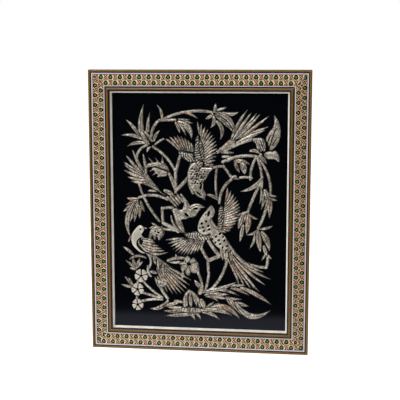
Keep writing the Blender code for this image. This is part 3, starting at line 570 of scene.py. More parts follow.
# One row for each blade, in mm from the middle of the plate:
# kind, from x, z, to x, z, bow to the left of the way, width
motifs = {
    "spiked_flower": [
        (tongue, -105, 144, -100.5, 196, 3, 10.5), (body, -106, 147, -91, 123, -1, 9),
        (stem, -98, 146, -86, 130, 0, 5), (tongue, -93, 146, -89, 182, 1.5, 7),
        (leaf, -111, 140, -134, 168, -2.5, 6.5), (leaf, -103, 131, -143, 139, -4.5, 6),
        (leaf, -99, 125, -132, 119, -3.5, 6.5), (stem, -94, 121, -113, 92, -8, 5),
        (petal, -89, 118, -95, 108, -2, 5), (leaf, -81, 131, -71, 149, 2.5, 6),
        (stem, -80, 123, -65, 133, 1, 4), (stem, -85, 119, -43, 72, 6, 5),
        (stem, -86, 137, -71, 167, 5, 5.5),
    ],
    "arch_branch": [
        (leaf, -69, 167, -77, 195, -4.5, 5.5), (stem, -69, 167, -25, 182, 2, 5),
        (stem, -27, 181, 23, 181.5, 3, 5), (stem, -68, 167, -43, 168, 0, 4.5),
        (leaf, -31, 181, -2, 170, 3, 5),
    ],
    "bud_under_arch": [
        (petal, -37, 169, -16, 168, 0, 3.5), (petal, -38, 164, -10, 162, 1, 5),
        (petal, -39, 163, -14, 133, 9, 11), (petal, -40, 162, -24, 139, 3, 5),
        (petal, -43, 163, -35, 144, 1.5, 6),
    ],
    "star_flower": [
        (petal, 28, 184, 30, 198, 0, 6), (leaf, 31, 185, 50, 191, 0, 5),
        (leaf, 44, 182, 71, 183, -4, 7), (petal, 30, 178, 64, 143, 7, 17),
        (leaf, 31, 164, 38, 133, 7, 8), (petal, 25, 174, 20, 154, 4, 7),
        (petal, 23, 176, 11, 170, 0, 6), (bud, 22, 179, 33, 181, 0, 9),
    ],
    "lily": [
        (leaf, 93, 112, 111, 107, 4, 6), (stem, 111, 108, 104, 101, 1, 5),
        (petal, 110, 104, 122, 90, 1, 7),
    ],
    "hanging_flowers": [
        (petal, 64, 94, 92, 89, 3, 8), (petal, 76, 91, 82, 71, 2, 12),
        (petal, 65, 91, 73, 74, 0, 7), (stem, 42, 92, 104, 103, 6, 5.5),
        (stem, 105, 101, 128, 33, 8.5, 5), (stem, 105, 99, 112, 46, 4, 5),
        (leaf, 113, 67, 74, 40, 6.5, 8), (stem, 110, 54, 88, 2, -1, 5.5),
        (leaf, 112, 42, 109, 17, 2, 5), (leaf, 116, 39, 112, 7, 2.5, 6),
        (leaf, 118, 42, 127, -8, 4.5, 12), (leaf, 127, 34, 141, 32, 0, 4),
        (leaf, 128, 30, 142, 25, -1, 5), (stem, 122, 16, 107, -26, 2, 5.5),
        (leaf, 87, 3, 66, -5, 0, 4), (leaf, 90, 1, 108, -10, -2.5, 5),
        (leaf, 80, -2, 71, -30, -0.5, 9), (leaf, 85, -4, 80, -18, 0, 5),
        (leaf, 90, -3, 86, -38, 1, 11), (leaf, 80, -23, 74, -53, 0, 7.5),
        (leaf, 107, -27, 85, -39, 4, 5), (leaf, 112, -27, 134, -21, -2, 5),
        (leaf, 100, -37, 91, -65, 3.5, 5), (leaf, 107, -33, 112, -71, -0.5, 10.5),
        (leaf, 114, -35, 128, -68, 3, 11), (petal, 118, -59, 124, -80, 0, 7),
        (leaf, 122, -73, 133, -83, 0, 4.5), (leaf, 120, -76, 114, -86, 0, 4),
        (stem, 125, -79, 122, -99, 1, 5.5), (stem, 123, -98, 90, -92, 2, 5),
    ],
    "diving_bird": [
        (stem, -12, 88, -10, 36, -7, 7), (stem, 24, 84, 1, 57, -1, 8),
        (petal, 1, 44, 10, 25, 2, 9), (petal, -9, 39, 8, 26, -1, 5), (stem, 5, 58, 7, 42, 0, 3),
        (petal, -4, 124, -3, 140, 0, 6), (wedge, 30, 109, 84, 147, -1, 22),
        (stem, 45, 113, 98, 135, 2, 6), (stem, 24, 82, 45, 85, 1, 4.5),
        (stem, 44, 86, 60, 64, 0, 5), (leaf, 57, 67, 73, 62, 0, 6), (leaf, 60, 65, 69, 68, 1, 5),
        (feather, 59, 134, 87, 187, 3, 6), (feather, 62, 134, 94, 182, 1, 6),
        (feather, 65, 134, 103, 181, -1, 6), (feather, 67, 133, 109, 179, 0, 6),
        (feather, 69, 132, 125, 176, 0, 6), (feather, 70, 131, 124, 157, 1.5, 6),
        (feather, 67, 127, 118, 151, 1, 7),
    ],
    "perch_stems": [
        (stem, 74, 65, 95, 65, 1, 4.5), (stem, 93, 62, 102, 101, 3, 5),
        (stem, 33, 85, 33, 26, -3, 4.5), (stem, 59, 61, 38, 18, -7, 5.5),
        (leaf, 16, 32, 38, 20, 3, 5.5), (stem, -35, 102, -42, 74, -0.5, 5.5),
        (stem, -43, 79, -43, 36, 0, 6), (leaf, -56, 71, -45, 38, 2.5, 7),
        (stem, -42, 41, -19, 66, -1, 6.5), (leaf, -63, 39, -44, 29, 1, 8),
        (leaf, -92, 38, -76, 37, 1, 4), (leaf, -36, 111, -29, 99, 0, 5),
    ],
    "darting_bird": [
        (feather, -98, 72, -103, 107, -1.5, 6), (feather, -102, 73, -122, 113, 1, 6),
        (feather, -104, 71, -134, 103, 1, 6), (feather, -105, 69, -139, 91, 0.5, 6),
        (feather, -104, 66, -137, 85.5, 1, 5.5), (feather, -103, 62, -138, 76, 1, 6),
        (feather, -101, 58, -132, 64, 1.5, 5.5), (feather, -99, 54, -125, 56, 1.5, 5),
        (stem, -114, 62, -102, 28, -0.5, 4.5), (stem, -111, 25, -58, 22, 7, 5),
        (stem, -103, 30, -73, -17, -2, 5), (stem, -31, 27, -17, 6, 1, 7),
        (leaf, -17, 8, 8, 12, 4, 5), (leaf, -9, 2, 5, 10, -1, 5),
        (petal, -40, -2, -24, -39, -4.5, 12), (leaf, -50, -8, -28, -39, -6, 4.5),
        (stem, -48, 8, -69, 6, -1, 5), (stem, -68, 8, -67, -21, 0, 5.5),
        (stem, -66, -21, -38, -36, 1, 7), (stem, -66, -32, -40, -35, 1, 4.5),
    ],
    "left_spray": [
        (leaf, -114, 24, -134, 25, 2, 7), (leaf, -115, 20, -136, 12, 1, 8),
        (leaf, -117, 16, -141, -1, 0, 8), (leaf, -119, 14, -127, -49, -10, 9),
        (leaf, -114, 16, -129, -22, 0, 6), (leaf, -112, 13, -120, -20, -1, 7),
        (leaf, -109, 12, -110, -14, 0, 6), (leaf, -107, 17, -100, -1, -1, 6),
        (leaf, -126, -46, -132, -58, 0, 4), (leaf, -124, -80, -142, -66, -1, 6),
        (body, -130, -90, -98, -87, 5.5, 5), (leaf, -118, -106, -138, -91, 0, 5),
        (leaf, -119, -105, -124, -86, 0, 7), (leaf, -116, -104, -110, -86, 0, 6),
        (leaf, -114, -103, -105, -93, 0, 5), (leaf, -120, -108, -130, -106, 0, 5),
        (leaf, -125, -141, -147, -137, 1.5, 5), (leaf, -128, -137, -140, -122, -1, 5),
        (leaf, -125, -137, -132, -124, 0, 5), (stem, -115, -128, -115, -140, 0, 4),
        (stem, -116, -156, -117, -168, 0, 4.5), (stem, -103, -131, -69, -159, -2.5, 4.5),
        (stem, -104, -152.5, -69, -161, -0.5, 4.5), (stem, -108, -169, -69, -164, 2, 5),
        (leaf, -89, -112, -76, -115, 0, 6),
    ],
    "perched_bird": [
        (leaf, -104, -31, -95, -31, 0, 3.5), (stem, -100, -76, -94, -104, 7, 4.5),
        (stem, -94, -102, -89, -120, -3.5, 5), (wedge, -92, -78, -45, -122, 1.5, 23),
        (leaf, -84, -84, -81, -99, 0, 6), (leaf, -77, -88, -75, -112, 0, 5),
        (leaf, -67, -97, -65, -123, -1, 6),
    ],
    "shaggy_flower": [
        (bud, -88, -37, -66, -37, 0, 20), (leaf, -77, -29, -93, -31, -1, 6),
        (leaf, -77, -27, -89, -20, 0, 4.5), (petal, -90, -38, -91, -51, 1, 7),
        (petal, -83, -42, -82, -52, 0, 6), (petal, -75, -42, -74, -52, 0, 6),
        (leaf, -70, -29, -72, -50, 4, 5), (bud, -77, -131, -59, -131, 0, 19),
        (leaf, -75, -140, -84, -121, -1, 6), (leaf, -74, -128, -79, -119, 0, 4.5),
        (stem, -73, -138, -58, -162, -1, 6),
    ],
    "spotted_bird": [
        (leaf, 21, 11, 7, -8, 1, 8), (leaf, 22, 10, 24, -9, 2, 8), (stem, 19, -9, 42, -40, -3, 8),
        (leaf, 40, -62, 43, -88, 1, 8), (leaf, 46, -62, 48, -93, 2, 9),
        (leaf, 50, -63, 57, -92, 5, 7), (stem, 4, -66, 17, -89, 0, 6),
        (stem, 17, -89, 38, -80, 1, 7), (stem, 37, -78, 17, -51, 1, 7),
        (stem, 16, -89, 17, -109, 0, 5.5), (stem, -22, -41, 19, -45, -2, 9),
        (feather, 43, -66, 73.5, -133, 3, 6.5), (feather, 46, -65, 83, -135, 2, 7),
        (feather, 48, -65, 94, -138, 0, 7), (feather, 50, -64, 101, -138, -1.5, 6.5),
        (feather, 52, -63, 110, -144, -3.5, 7), (feather, 53, -61, 121, -131, -6, 7),
        (feather, 54, -59, 131, -120, -9, 7), (feather, 55, -57, 118, -107, -9, 6.5),
        (leaf, 28, -27, 57, -29, 2, 5), (leaf, 27, -29, 50, -36, 1, 7),
    ],
    "small_blossom": [
        (stem, -7, -92, -4, -111, 2, 6.5), (petal, -22, -104, -18, -118, 0, 9),
        (petal, -31, -98, -30, -112, 0, 8), (stem, -58, -91, -28, -86, 3, 5.5),
        (leaf, -41, -86, -44, -77, 0, 4.5), (leaf, -34, -92, -57, -93, 1, 5),
        (stem, -30, -108, -31, -121, 0, 4.5),
    ],
    "rosette": [
        (stem, -23, -182, -18, -147, 7, 5.5), (stem, -20, -147, 1, -176, 6, 6),
        (leaf, -23, -152, -21, -178, -3, 7), (leaf, -17, -154, -15, -180, 0, 7),
        (leaf, -12, -153, -5, -176, 2, 7), (body, -36, -182, 8, -182, -1, 11),
        (leaf, -60, -166, -93, -182, 6, 8), (leaf, -34, -185, -67, -185, 1, 6),
        (leaf, -10, -190, -66, -195, 0, 7), (leaf, -42, -170, -68, -177, 0, 7),
        (leaf, -28, -179, -60, -178, 1, 7), (leaf, -22, -187, -7, -203, 3, 6),
        (leaf, -12, -184, 3, -201, 3, 6), (leaf, 2, -186, 39, -200, 5, 7),
        (petal, 3, -162, 10, -181, 1, 10), (leaf, 12, -179, 28, -165, 0, 6),
        (leaf, 16, -180, 38, -167, -1, 8), (leaf, 20, -180, 76, -198, 13, 11),
        (leaf, 6, -183, 62, -191, 6, 9), (stem, -45, -166, -31, -168, 0, 5),
    ],
    "lower_stems": [
        (leaf, 3, -138, -9, -125, 1, 8), (stem, -4, -109, 6, -140, 2, 5),
        (stem, 17.5, -111, 10, -146, 1.5, 5), (stem, 50, -88, 22, -141, 5, 5.5),
        (body, 0, -153, 6, -136, 0, 10), (leaf, 4, -147, 70, -126, -4, 8),
        (leaf, 20, -143, 74, -153, 5, 6), (leaf, 60, -140, 92, -152, 3, 6),
        (leaf, 60, -135, 86, -133, 1, 5), (leaf, 78, -138, 133, -168, 3, 8),
        (leaf, 12, -153, 56, -151, 1, 7), (leaf, 14, -157, 36, -166, 4, 5),
        (body, 22, -156, 50, -159, 1, 6), (leaf, 50, -156, 79, -159, -1.5, 5),
        (leaf, 50, -158, 64, -178, 1, 6), (leaf, 56, -160, 77, -188, 1, 8),
        (leaf, 68, -166, 92, -172, 0, 7), (leaf, 68, -167, 93, -197, 0, 9),
        (leaf, 72, -168, 131, -178, -18, 11),
    ],
}

# Fans of feathers: root line, tip line, bow of the tip line, count, bow, width
fans = [
    ((-38, 116), (-13, 113), (-61, 134), (-15, 127), 9, 8, -1.0, 5.0),
    ((-25, 99), (-10, 95), (-30, 108), (-17, 108), 0, 3, 0.0, 5.0),
    ((4, 138), (12, 86), (-3, 165), (27, 88), 19, 14, 1.0, 4.5),
    ((42, 110), (44, 95), (63, 110), (58, 96), 0, 3, 0.0, 5.0),
    ((-58, 27), (-33, 32), (-40, 8), (-22, 17), 0, 5, 0.5, 4.5),
    ((-66, -98), (-78, -107), (-15, -126), (-59, -150), 14, 8, 0.0, 5.5),
    ((-24, -49), (9, -51), (-62, -52), (3, -70), -18, 13, -1.0, 4.5),
    ((47.5, 21), (46.5, -29), (51, 47), (57, -31), 21, 14, -1.5, 4.8),
]

# Five-petalled flowers: centre, reach, turn of the first petal
fivePetalled = [((-108, -120), 12.6, 50), ((-115, -146), 12.0, 46), ((-115, -175), 10.8, 60)]

# Birds' bodies and wing coverts: smooth closed outlines in mm, with their rise, how far in from
# the edge they reach it, and bars across them (turn, pitch, strength)
outlines = [
    {"points": [(-12, 90), (-17, 85), (-20.5, 76), (-21.3, 66), (-20.5, 57), (-17, 49),
                (-12, 41), (-6, 34), (1, 29), (7, 25.5), (10.7, 23.5), (10.3, 30), (8.8, 38),
                (7.6, 46), (8.2, 54), (11, 60), (15.5, 67), (20, 75), (25.5, 82), (14, 83),
                (2, 84), (-4, 92)], "rise": 3.2, "shoulder": 8, "bars": (50, 2.6, 0.25)},
    {"points": [(-8.5, 98), (-9.3, 110), (-8.6, 120), (-6, 127), (-4.5, 134), (-2.5, 141),
                (0.5, 133), (4.5, 128), (8, 118), (9, 105), (8.6, 93), (5.5, 85.5), (1, 82.5),
                (-2.5, 87), (-6, 92)], "rise": 3.0, "shoulder": 5, "bars": (122, 4.4, 1.0)},
    {"points": [(-38, 112), (-33, 104), (-27, 97.5), (-19, 93), (-12, 92.5), (-10.5, 100),
                (-12, 107), (-20, 109), (-30, 111)], "rise": 2.4, "shoulder": 4,
     "bars": (25, 4.4, 1.0)},
    {"points": [(-18, 7.5), (-13.5, 9.5), (-8, 12.2), (-2.5, 13.6), (4, 12.4), (11, 10.2),
                (4, 8.6), (0.5, 6.2), (-1.8, 1.5), (-5.5, -4.5), (-10, -8), (-14.5, -8.8),
                (-19, -9.5), (-25, -12.5), (-32.5, -13.5), (-33, -19), (-33, -25), (-30, -31),
                (-24, -38.5), (-30, -36.5), (-36, -30.5), (-41.5, -21), (-45, -10), (-48, -1),
                (-50.5, 4), (-46, 7.5), (-38, 7), (-32, 5), (-28.5, 12), (-27, 21), (-22, 17.5)],
     "rise": 3.0, "shoulder": 6, "bars": (70, 2.4, 0.22)},
    {"points": [(22, 11.8), (19.2, 11), (15, 6.2), (10, 0.8), (5.5, -5), (2.5, -10), (0, -15),
                (-2.2, -22), (-2.8, -29), (-1, -35.5), (4, -39.5), (10, -40.5), (16, -39.5),
                (20, -37), (21.5, -43), (24, -51), (28, -57), (33, -62), (39, -66), (46, -68),
                (51, -66), (53.5, -60), (51.5, -51), (48, -43.5), (40, -36), (32, -30),
                (26, -24.5), (21.5, -18), (19.8, -13), (21, -10), (24.5, -8), (27.3, -3.5),
                (26, 1), (24, 7)], "rise": 3.4, "shoulder": 8, "bars": (60, 2.6, 0.25), "pale": 0.35},
    {"points": [(52, -50), (57, -57), (63, -67), (70, -77.5), (79, -86.5), (90, -91.5),
                (102, -93.5), (104, -97), (96, -103), (86, -110), (76, -112), (67, -104),
                (58, -94), (50, -84), (43, -74), (37, -64), (34, -55), (42, -48)],
     "rise": 2.6, "shoulder": 5, "streaks": (24, -24, 30, 1.0), "under": True},
    {"points": [(-60, 31), (-70, 37), (-75, 44), (-82, 52), (-89, 61), (-94, 69), (-97, 76),
                (-102, 82), (-108, 82), (-112, 76), (-113, 67), (-111, 59), (-107, 53.5),
                (-103, 51), (-94, 47.5), (-84, 42.5), (-74, 37.5), (-66, 32)],
     "rise": 2.8, "shoulder": 6, "streaks": (-50, 22, 30, 1.0), "under": True},
    {"points": [(134, 177.5), (134.5, 168), (133.5, 160), (130, 153), (125, 147), (121, 139),
                (119.5, 133), (123, 129), (125, 122), (127.5, 115), (133, 117.5), (138, 123),
                (143, 131), (145.5, 141), (146, 151), (144, 161), (140, 170)],
     "rise": 3.0, "shoulder": 7, "streaks": (118, 96, 14, 0.35)},
    {"points": [(117, 109), (124, 113), (132, 113), (137, 114.5), (141, 110), (144, 103),
                (144.5, 97), (142, 94.5), (138, 98), (132, 99.5), (124, 99.5), (118, 103)],
     "rise": 2.8, "shoulder": 5, "streaks": (104, 107, 12, 0.4)},
    {"points": [(96, 136), (104, 137), (111, 137), (116, 134.5), (119, 129), (120, 121),
                (118.5, 114), (116, 112), (114, 115), (111, 112.5), (108, 116.5), (105, 115.5),
                (103, 121), (101.5, 127), (97, 131.5)],
     "rise": 2.8, "shoulder": 4, "bars": (10, 3.4, 0.7)},
    {"points": [(-55, 76), (-57.5, 83), (-62, 88.5), (-64.5, 92), (-67, 102), (-69.5, 92.5),
                (-73, 92), (-81, 100.5), (-77.5, 92.5), (-83, 91.5), (-93.5, 100), (-87.5, 90.5),
                (-94, 88.5), (-98, 84.5), (-100.5, 79.5), (-95, 81), (-88, 82.5), (-80, 83.5),
                (-72, 81), (-64, 78.5)], "rise": 2.6, "shoulder": 4, "bars": (60, 3.0, 0.5)},
    {"points": [(-57, 71), (-60, 66.5), (-68, 65), (-76.5, 64), (-75.5, 69), (-80, 69.5),
                (-86.5, 66), (-81, 73), (-84, 75.5), (-91.5, 73.5), (-87, 78), (-86, 80),
                (-80, 82), (-72, 79), (-64, 76.5), (-58, 74)],
     "rise": 2.6, "shoulder": 4, "bars": (100, 3.0, 0.5)},
    {"points": [(-29, -92), (-27, -85), (-22, -81), (-17, -83.5), (-15, -87), (-11, -83.5),
                (-6.5, -87), (-6, -92), (-2.5, -98), (-2, -106), (-6, -112), (-12, -112),
                (-16, -110.5), (-20, -117), (-25, -113.5), (-26.5, -107), (-30, -112),
                (-34, -104), (-32, -98), (-37, -96.5), (-34, -92.5)],
     "rise": 2.8, "shoulder": 4, "bars": (70, 2.6, 0.25)},
    {"points": [(-66, -36), (-69, -29), (-76, -26), (-84, -27.5), (-89, -33), (-92, -40),
                (-93, -48), (-89, -50), (-87, -44.5), (-85, -44), (-83.5, -51), (-80.5, -51.5),
                (-79.5, -45), (-77.5, -45), (-75.5, -52), (-72, -51.5), (-70, -46), (-67, -42)],
     "rise": 3.0, "shoulder": 4, "bars": (75, 2.6, 0.5)},
    {"points": [(-27, -40), (-18, -37.5), (-8, -35.5), (0, -36.5), (8, -41.5), (16, -41.5),
                (21, -40.5), (22, -47), (16, -49.5), (4, -50.5), (-8, -49.5), (-20, -46.5)],
     "rise": 2.6, "shoulder": 4, "bars": (15, 4.6, 1.0)},
    {"points": [(39, 13), (43, 11), (45.5, 2), (45.5, -10), (45, -20), (42, -27), (37, -29.5),
                (34, -24), (34.5, -14), (35, -4), (36, 6)], "rise": 2.6, "shoulder": 4,
     "bars": (125, 4.4, 1.0)},
    {"points": [(-102, -30), (-104, -27.5), (-108, -25.5), (-112, -26.5), (-116, -30),
                (-120, -35), (-124, -41), (-126, -48), (-125.5, -56), (-123, -63), (-118, -69),
                (-111, -75), (-105, -77.5), (-100, -76), (-99, -60), (-101, -50), (-105, -46),
                (-106.5, -42), (-104, -38), (-102, -34)], "rise": 3.4, "shoulder": 8,
     "bars": (80, 2.2, 0.05), "pale": 0.85},
    {"points": [(-112, -51), (-106, -48.5), (-99, -51.5), (-92, -54), (-88, -60), (-86, -70),
                (-90, -75), (-98, -74.5), (-106, -71), (-113, -64), (-114.5, -57)],
     "rise": 2.4, "shoulder": 4, "bars": (80, 2.4, 0.8)},
]
# The perched bird's wing, laid over its body
wingRows = [
    (feather, -102, -51.5, -84, -53.5, 0.5, 4.5), (feather, -103, -54.5, -81, -57.5, 0.5, 5),
    (feather, -104, -58, -75, -63.5, -0.5, 5), (feather, -105, -61.5, -69, -68, -2, 5.5),
    (feather, -107, -65, -64, -71.5, -4, 5.5), (feather, -112, -56, -58, -74.5, -13, 5.5),
]

random.seed(relief["seed"])
# Engraved marks: spots (x, z, half length, half width, turn) and lines (x, z, x, z, bow, width)
spots = [
    (-108.2, -32.7, 1.5, 1.4, 0), (-6.5, 7.6, 4.2, 1.5, 15), (3.5, 48, 5.0, 1.6, 80),
    (17.5, -1.0, 5.6, 2.1, 75), (12, -2.5, 1.4, 0.8, 60), (13, -15, 2.4, 1.9, 30),
    (5, -19.5, 2.6, 1.9, 60), (17, -23.5, 2.8, 1.8, 30), (7, -26.5, 2.4, 1.8, 60),
    (18.5, -30, 2.6, 1.8, 30), (9, -33, 2.2, 1.8, 60), (1.5, -28, 1.6, 1.2, 90),
    (-34, 11, 7.5, 3.6, 55), (-23, -4, 5.0, 2.2, -40), (0, 35, 6.4, 1.5, -40),
    (-107.5, -55.5, 4.6, 2.8, 100), (27.5, 179.5, 2.4, 2.0, 0), (-18.5, -95.0, 4.2, 2.6, -20),
    (-72, -134, 1.6, 1.3, 0), (-65, -129, 1.6, 1.2, 0), (-71, -127, 1.2, 1.0, 0),
    (-81, -36, 1.5, 1.2, 0), (-75, -38, 2.2, 1.6, 0), (-78, -42, 1.4, 1.0, 0),
    (24, -48, 2.4, 1.7, 40), (38, -38, 2.4, 1.7, 50), (31, -43, 2.6, 1.9, 30),
    (36, -49.5, 2.6, 1.8, 30), (46.5, -50, 2.4, 1.7, 50), (30, -54, 2.2, 1.5, 60),
    (38.5, -56.5, 2.4, 1.6, 50), (43, -63, 2.6, 1.5, 60), (51, -60, 2.4, 1.4, 50),
    (49, -70, 3.2, 1.3, 60), (57, -70, 3.0, 1.2, 50), (44, -43.5, 2.0, 1.5, 50),
]
for i in range(7):
    for j in range(5):
        # dark scales on the diving bird's breast
        spots.append((-13.0 + 5.2 * j + 2.6 * (i % 2) + random.uniform(-1.1, 0.9),
                      80.0 - 4.4 * i + random.uniform(-1.2, 1.2),
                      random.uniform(0.9, 2.7), random.uniform(0.7, 1.4), random.uniform(10, 70)))

lines = [
    (-10, 150, -9, 96, 2.0, 1.6), (1, 141, 10, 88, -4.5, 1.8), (9, 87, -9, 97, -5.0, 1.6),
    (-58, 125, -12, 108, -5.0, 1.8), (-12, 92, 25, 83, 6.0, 1.4), (-6, 127, 2, 129, 1.5, 1.0),
    (-28, -39, 0, -38, 1.5, 1.1), (-26, -45, 22, -47, 3.0, 1.4), (46.5, 14, 44, -27, -3.5, 1.4),
    (21, -41, 14, -40, 2.0, 1.2), (-107, -48.5, -114, -64, -4.0, 2.4), (-114, -64, -92, -77, -3.0, 2.2),
    (-48, -2, -41, -4, 0.5, 1.2), (126.5, 119, 138, 154, 1.0, 1.9), (123, 127, 129, 142, 1.0, 1.7),
    (131, 123, 139, 136, 0.5, 1.5), (107, 127, 111, 116, 0.5, 1.2), (109, 133, 115, 117, 1.5, 1.2),
    (34, 176, 60, 150, 4.0, 1.2), (36, 170, 55, 152, 3.0, 0.9), (-33, 158, -17, 140, 5.0, 0.9),
    (-96, 88, -60, 84, 6.0, 1.0),
    (-35, -176, 6, -176, -1.0, 1.0), (-35, -187, 6, -187, 1.0, 1.0), (28, -152, 70, -133, -3.0, 1.0),
    (24, -184, 72, -194, 10.0, 1.0), (-84, -84, -50, -112, 2.0, 0.9), (-80, -88, -52, -116, 1.0, 0.9),
    (-86, -80, -50, -106, 2.0, 0.9),
]
for x, z in ((-16, -86), (-6, -92), (-15, -111), (-27, -109), (-34, -97), (-27, -90)):
    # cuts between the small blossom's petals
    lines.append((-19.0, -97.0, x, z, 0.0, 1.3))
for i in range(8):
    # stamens crossing the rosette's belt
    lines.append((-32.0 + 5.0 * i, -178.0, -34.0 + 5.4 * i, -186.0, 0.0, 0.9))


def fanRows(fan):
    # Feathers spread from a straight root line to a bowed tip line, each as wide as its room
    rootA, rootB, tipA, tipB, tipBow, count, bow, width = fan
    rootA, rootB, tipA, tipB = (Vector(p) for p in (rootA, rootB, tipA, tipB))
    way = (tipB - tipA).normalized()
    room = ((rootB - rootA).length / (count - 1), (tipB - tipA).length / (count - 1))
    rows = []
    for i in range(count):
        share = i / (count - 1)
        root = rootA.lerp(rootB, share)
        tip = tipA.lerp(tipB, share) + Vector((-way.y, way.x)) * tipBow * 4 * share * (1 - share)
        rows.append((feather, root.x, root.y, tip.x, tip.y, bow, width, room))
    return rows


def fivePetals(flower):
    # Five broad blunt petals with a narrow gap between them
    (x, z), reach, turned = flower
    petals = []
    for i in range(5):
        ring = []
        for share, off in ((0.18, 0), (0.52, 29), (0.90, 29), (1.0, 14), (0.95, 0), (1.0, -14),
                           (0.90, -29), (0.52, -29)):
            angle = math.radians(turned + 72 * i + off)
            ring.append((x + reach * share * math.cos(angle), z + reach * share * math.sin(angle)))
        petals.append({"points": ring, "rise": 2.2, "shoulder": 3, "bars": (turned + 72 * i, 2.2, 0.15),
                       "pale": 0.75})
    return petals


def gridLine(reach, half):
    fine = np.linspace(-reach, reach, int(round(2 * reach / sheet["cell"])) + 1)
    return np.concatenate(([-half], fine, [half]))


gridX = gridLine(sheet["reachX"], sheet["halfWidth"])
gridZ = gridLine(sheet["reachZ"], sheet["halfHeight"])
field = {name: np.full((len(gridZ), len(gridX)), start, dtype=np.float64)
         for name, start in (("height", 0.0), ("edge", -relief["far"]), ("cut", relief["far"]),
                             ("crest", 0.0), ("barb", 0.0), ("phase", 0.0), ("blush", 0.0),
                             ("pale", 0.0), ("layer", 0.0))}


def windowAround(points, margin):
    # The part of the grid around some points, and its own points as a flat list
    low, high = points.min(axis=0) - margin, points.max(axis=0) + margin
    part = (slice(np.searchsorted(gridZ, low[1]), np.searchsorted(gridZ, high[1])),
            slice(np.searchsorted(gridX, low[0]), np.searchsorted(gridX, high[0])))
    x, z = np.meshgrid(gridX[part[1]], gridZ[part[0]])
    return part, np.stack((x.ravel(), z.ravel()), axis=1)


def bladeWidth(kind, width, share, length):
    blade = blades[kind]
    if kind == wedge:
        part = blade["root"] + (blade["tip"] - blade["root"]) * share
    else:
        growing = blade["root"] + (1 - blade["root"]) * np.sin(np.pi / 2 * share / blade["widest"])
        fading = blade["tip"] + (1 - blade["tip"]) * np.cos(
            np.pi / 2 * (share - blade["widest"]) / (1 - blade["widest"]))
        part = np.where(share < blade["widest"], growing, fading)
    wide = width * part
    # Blunt ends are rounded off
    for fromEnd, endPart in ((share * length, blade["root"]), ((1 - share) * length, blade["tip"])):
        radius = max(width * endPart * (0.5 if kind != stem else 0.3), 0.01)
        wide = wide * np.sqrt(1 - np.clip(1 - fromEnd / radius, 0, 1) ** 2)
    return np.maximum(wide, 0.5)


def bowedLine(x0, z0, x1, z1, bow, count):
    start, chord = np.array((x0, z0), float), np.array((x1 - x0, z1 - z0), float)
    span = float(np.hypot(*chord))
    left = np.array((-chord[1], chord[0])) / span
    share = np.linspace(0, 1, count)
    line = start + np.outer(share, chord) + np.outer(bow * 4 * share * (1 - share), left)
    heading = chord + np.outer(bow * 4 * (1 - 2 * share), left)
    heading /= np.linalg.norm(heading, axis=1)[:, None]
    return share, line, heading, span * (1 + 8 / 3 * (bow / span) ** 2)


def bladeShape(row):
    # Height, edge and engraving of one blade over its part of the grid
    kind, x0, z0, x1, z1, bow, width = row[:7]
    blade = blades[kind]
    backX, backZ = Vector((x0 - x1, z0 - z1)).normalized() * blade["reach"]
    x0, z0 = x0 + backX, z0 + backZ
    if kind == stem:
        x1, z1 = x1 - backX, z1 - backZ
    count = max(10, int(math.hypot(x1 - x0, z1 - z0) / 0.9))
    share, line, heading, length = bowedLine(x0, z0, x1, z1, bow, count)
    half = bladeWidth(kind, width, share, length) / 2
    if len(row) > 7:
        room = row[7][0] + (row[7][1] - row[7][0]) * share
        half = np.minimum(half, relief["fanFill"] * room / 2)
    part, points = windowAround(line, width / 2 + 1.5)
    gap = ((points[:, None, :] - line[None, :, :]) ** 2).sum(axis=2)
    nearest = gap.argmin(axis=1)
    away = points - line[nearest]
    ahead = (away * heading[nearest]).sum(axis=1)
    across = away[:, 1] * heading[nearest, 0] - away[:, 0] * heading[nearest, 1]
    shareHere = np.clip(share[nearest] + ahead / length, 0, 1)
    halfHere = np.interp(shareHere, share, half)
    edge = halfHere - np.abs(across)
    beyond = ((nearest == 0) & (ahead < 0)) | ((nearest == count - 1) & (ahead > 0))
    edge = np.where(beyond, np.minimum(edge, -np.abs(ahead)), edge)
    out = np.clip(np.abs(across) / halfHere, 0, 1)
    rise = np.minimum(2 * halfHere * relief["riseShare"], relief["riseMost"])
    dome = {leaf: (1 - out) ** 0.55, petal: (1 - out ** 1.5) ** 0.5, tongue: (1 - out) ** 0.55,
            feather: (1 - out ** 1.4) ** 0.6}.get(kind, np.sqrt(1 - out ** 2.6))
    veins = np.full(len(points), relief["far"])
    middle = (shareHere > 0.06) & (shareHere < 0.86)
    if kind in (leaf, petal, tongue):
        veins = np.where(middle & (halfHere > relief["veinFrom"]), np.abs(across) - relief["vein"], veins)
        for side in (-0.5, 0.5):
            wideHere = middle & (halfHere > 2.1 * relief["veinFrom"])
            veins = np.where(wideHere, np.minimum(veins, np.abs(across - side * halfHere) - relief["vein"]),
                             veins)
    phase = (shareHere * length + 1.1 * np.abs(across)) / blade["pitch"]
    barb = blade["barb"] * (0.35 + 0.65 * out)
    if kind == wedge:
        phase = 4.5 * across / np.maximum(halfHere, 1)
        barb = np.full(len(points), blade["barb"])
    return {"part": part, "edge": edge, "height": rise * dome, "crest": dome, "cuts": veins,
            "phase": phase, "barb": barb,
            "blush": np.sin(np.pi * shareHere) * random.random() * (0.45 if kind == stem else 0.9),
            "pale": np.zeros(len(points)), "layer": blade["layer"],
            "seam": relief["featherSeam" if kind == feather else "seam"]}


def smoothOutline(points, steps=6):
    # Catmull-Rom through the given points
    given = np.array(points, float)
    before, after, later = (np.roll(given, n, axis=0) for n in (1, -1, -2))
    path = []
    for i in range(steps):
        t = i / steps
        path.append(0.5 * (2 * given + (after - before) * t
                           + (2 * before - 5 * given + 4 * after - later) * t ** 2
                           + (3 * given - before - 3 * after + later) * t ** 3))
    return np.stack(path, axis=1).reshape(-1, 2)


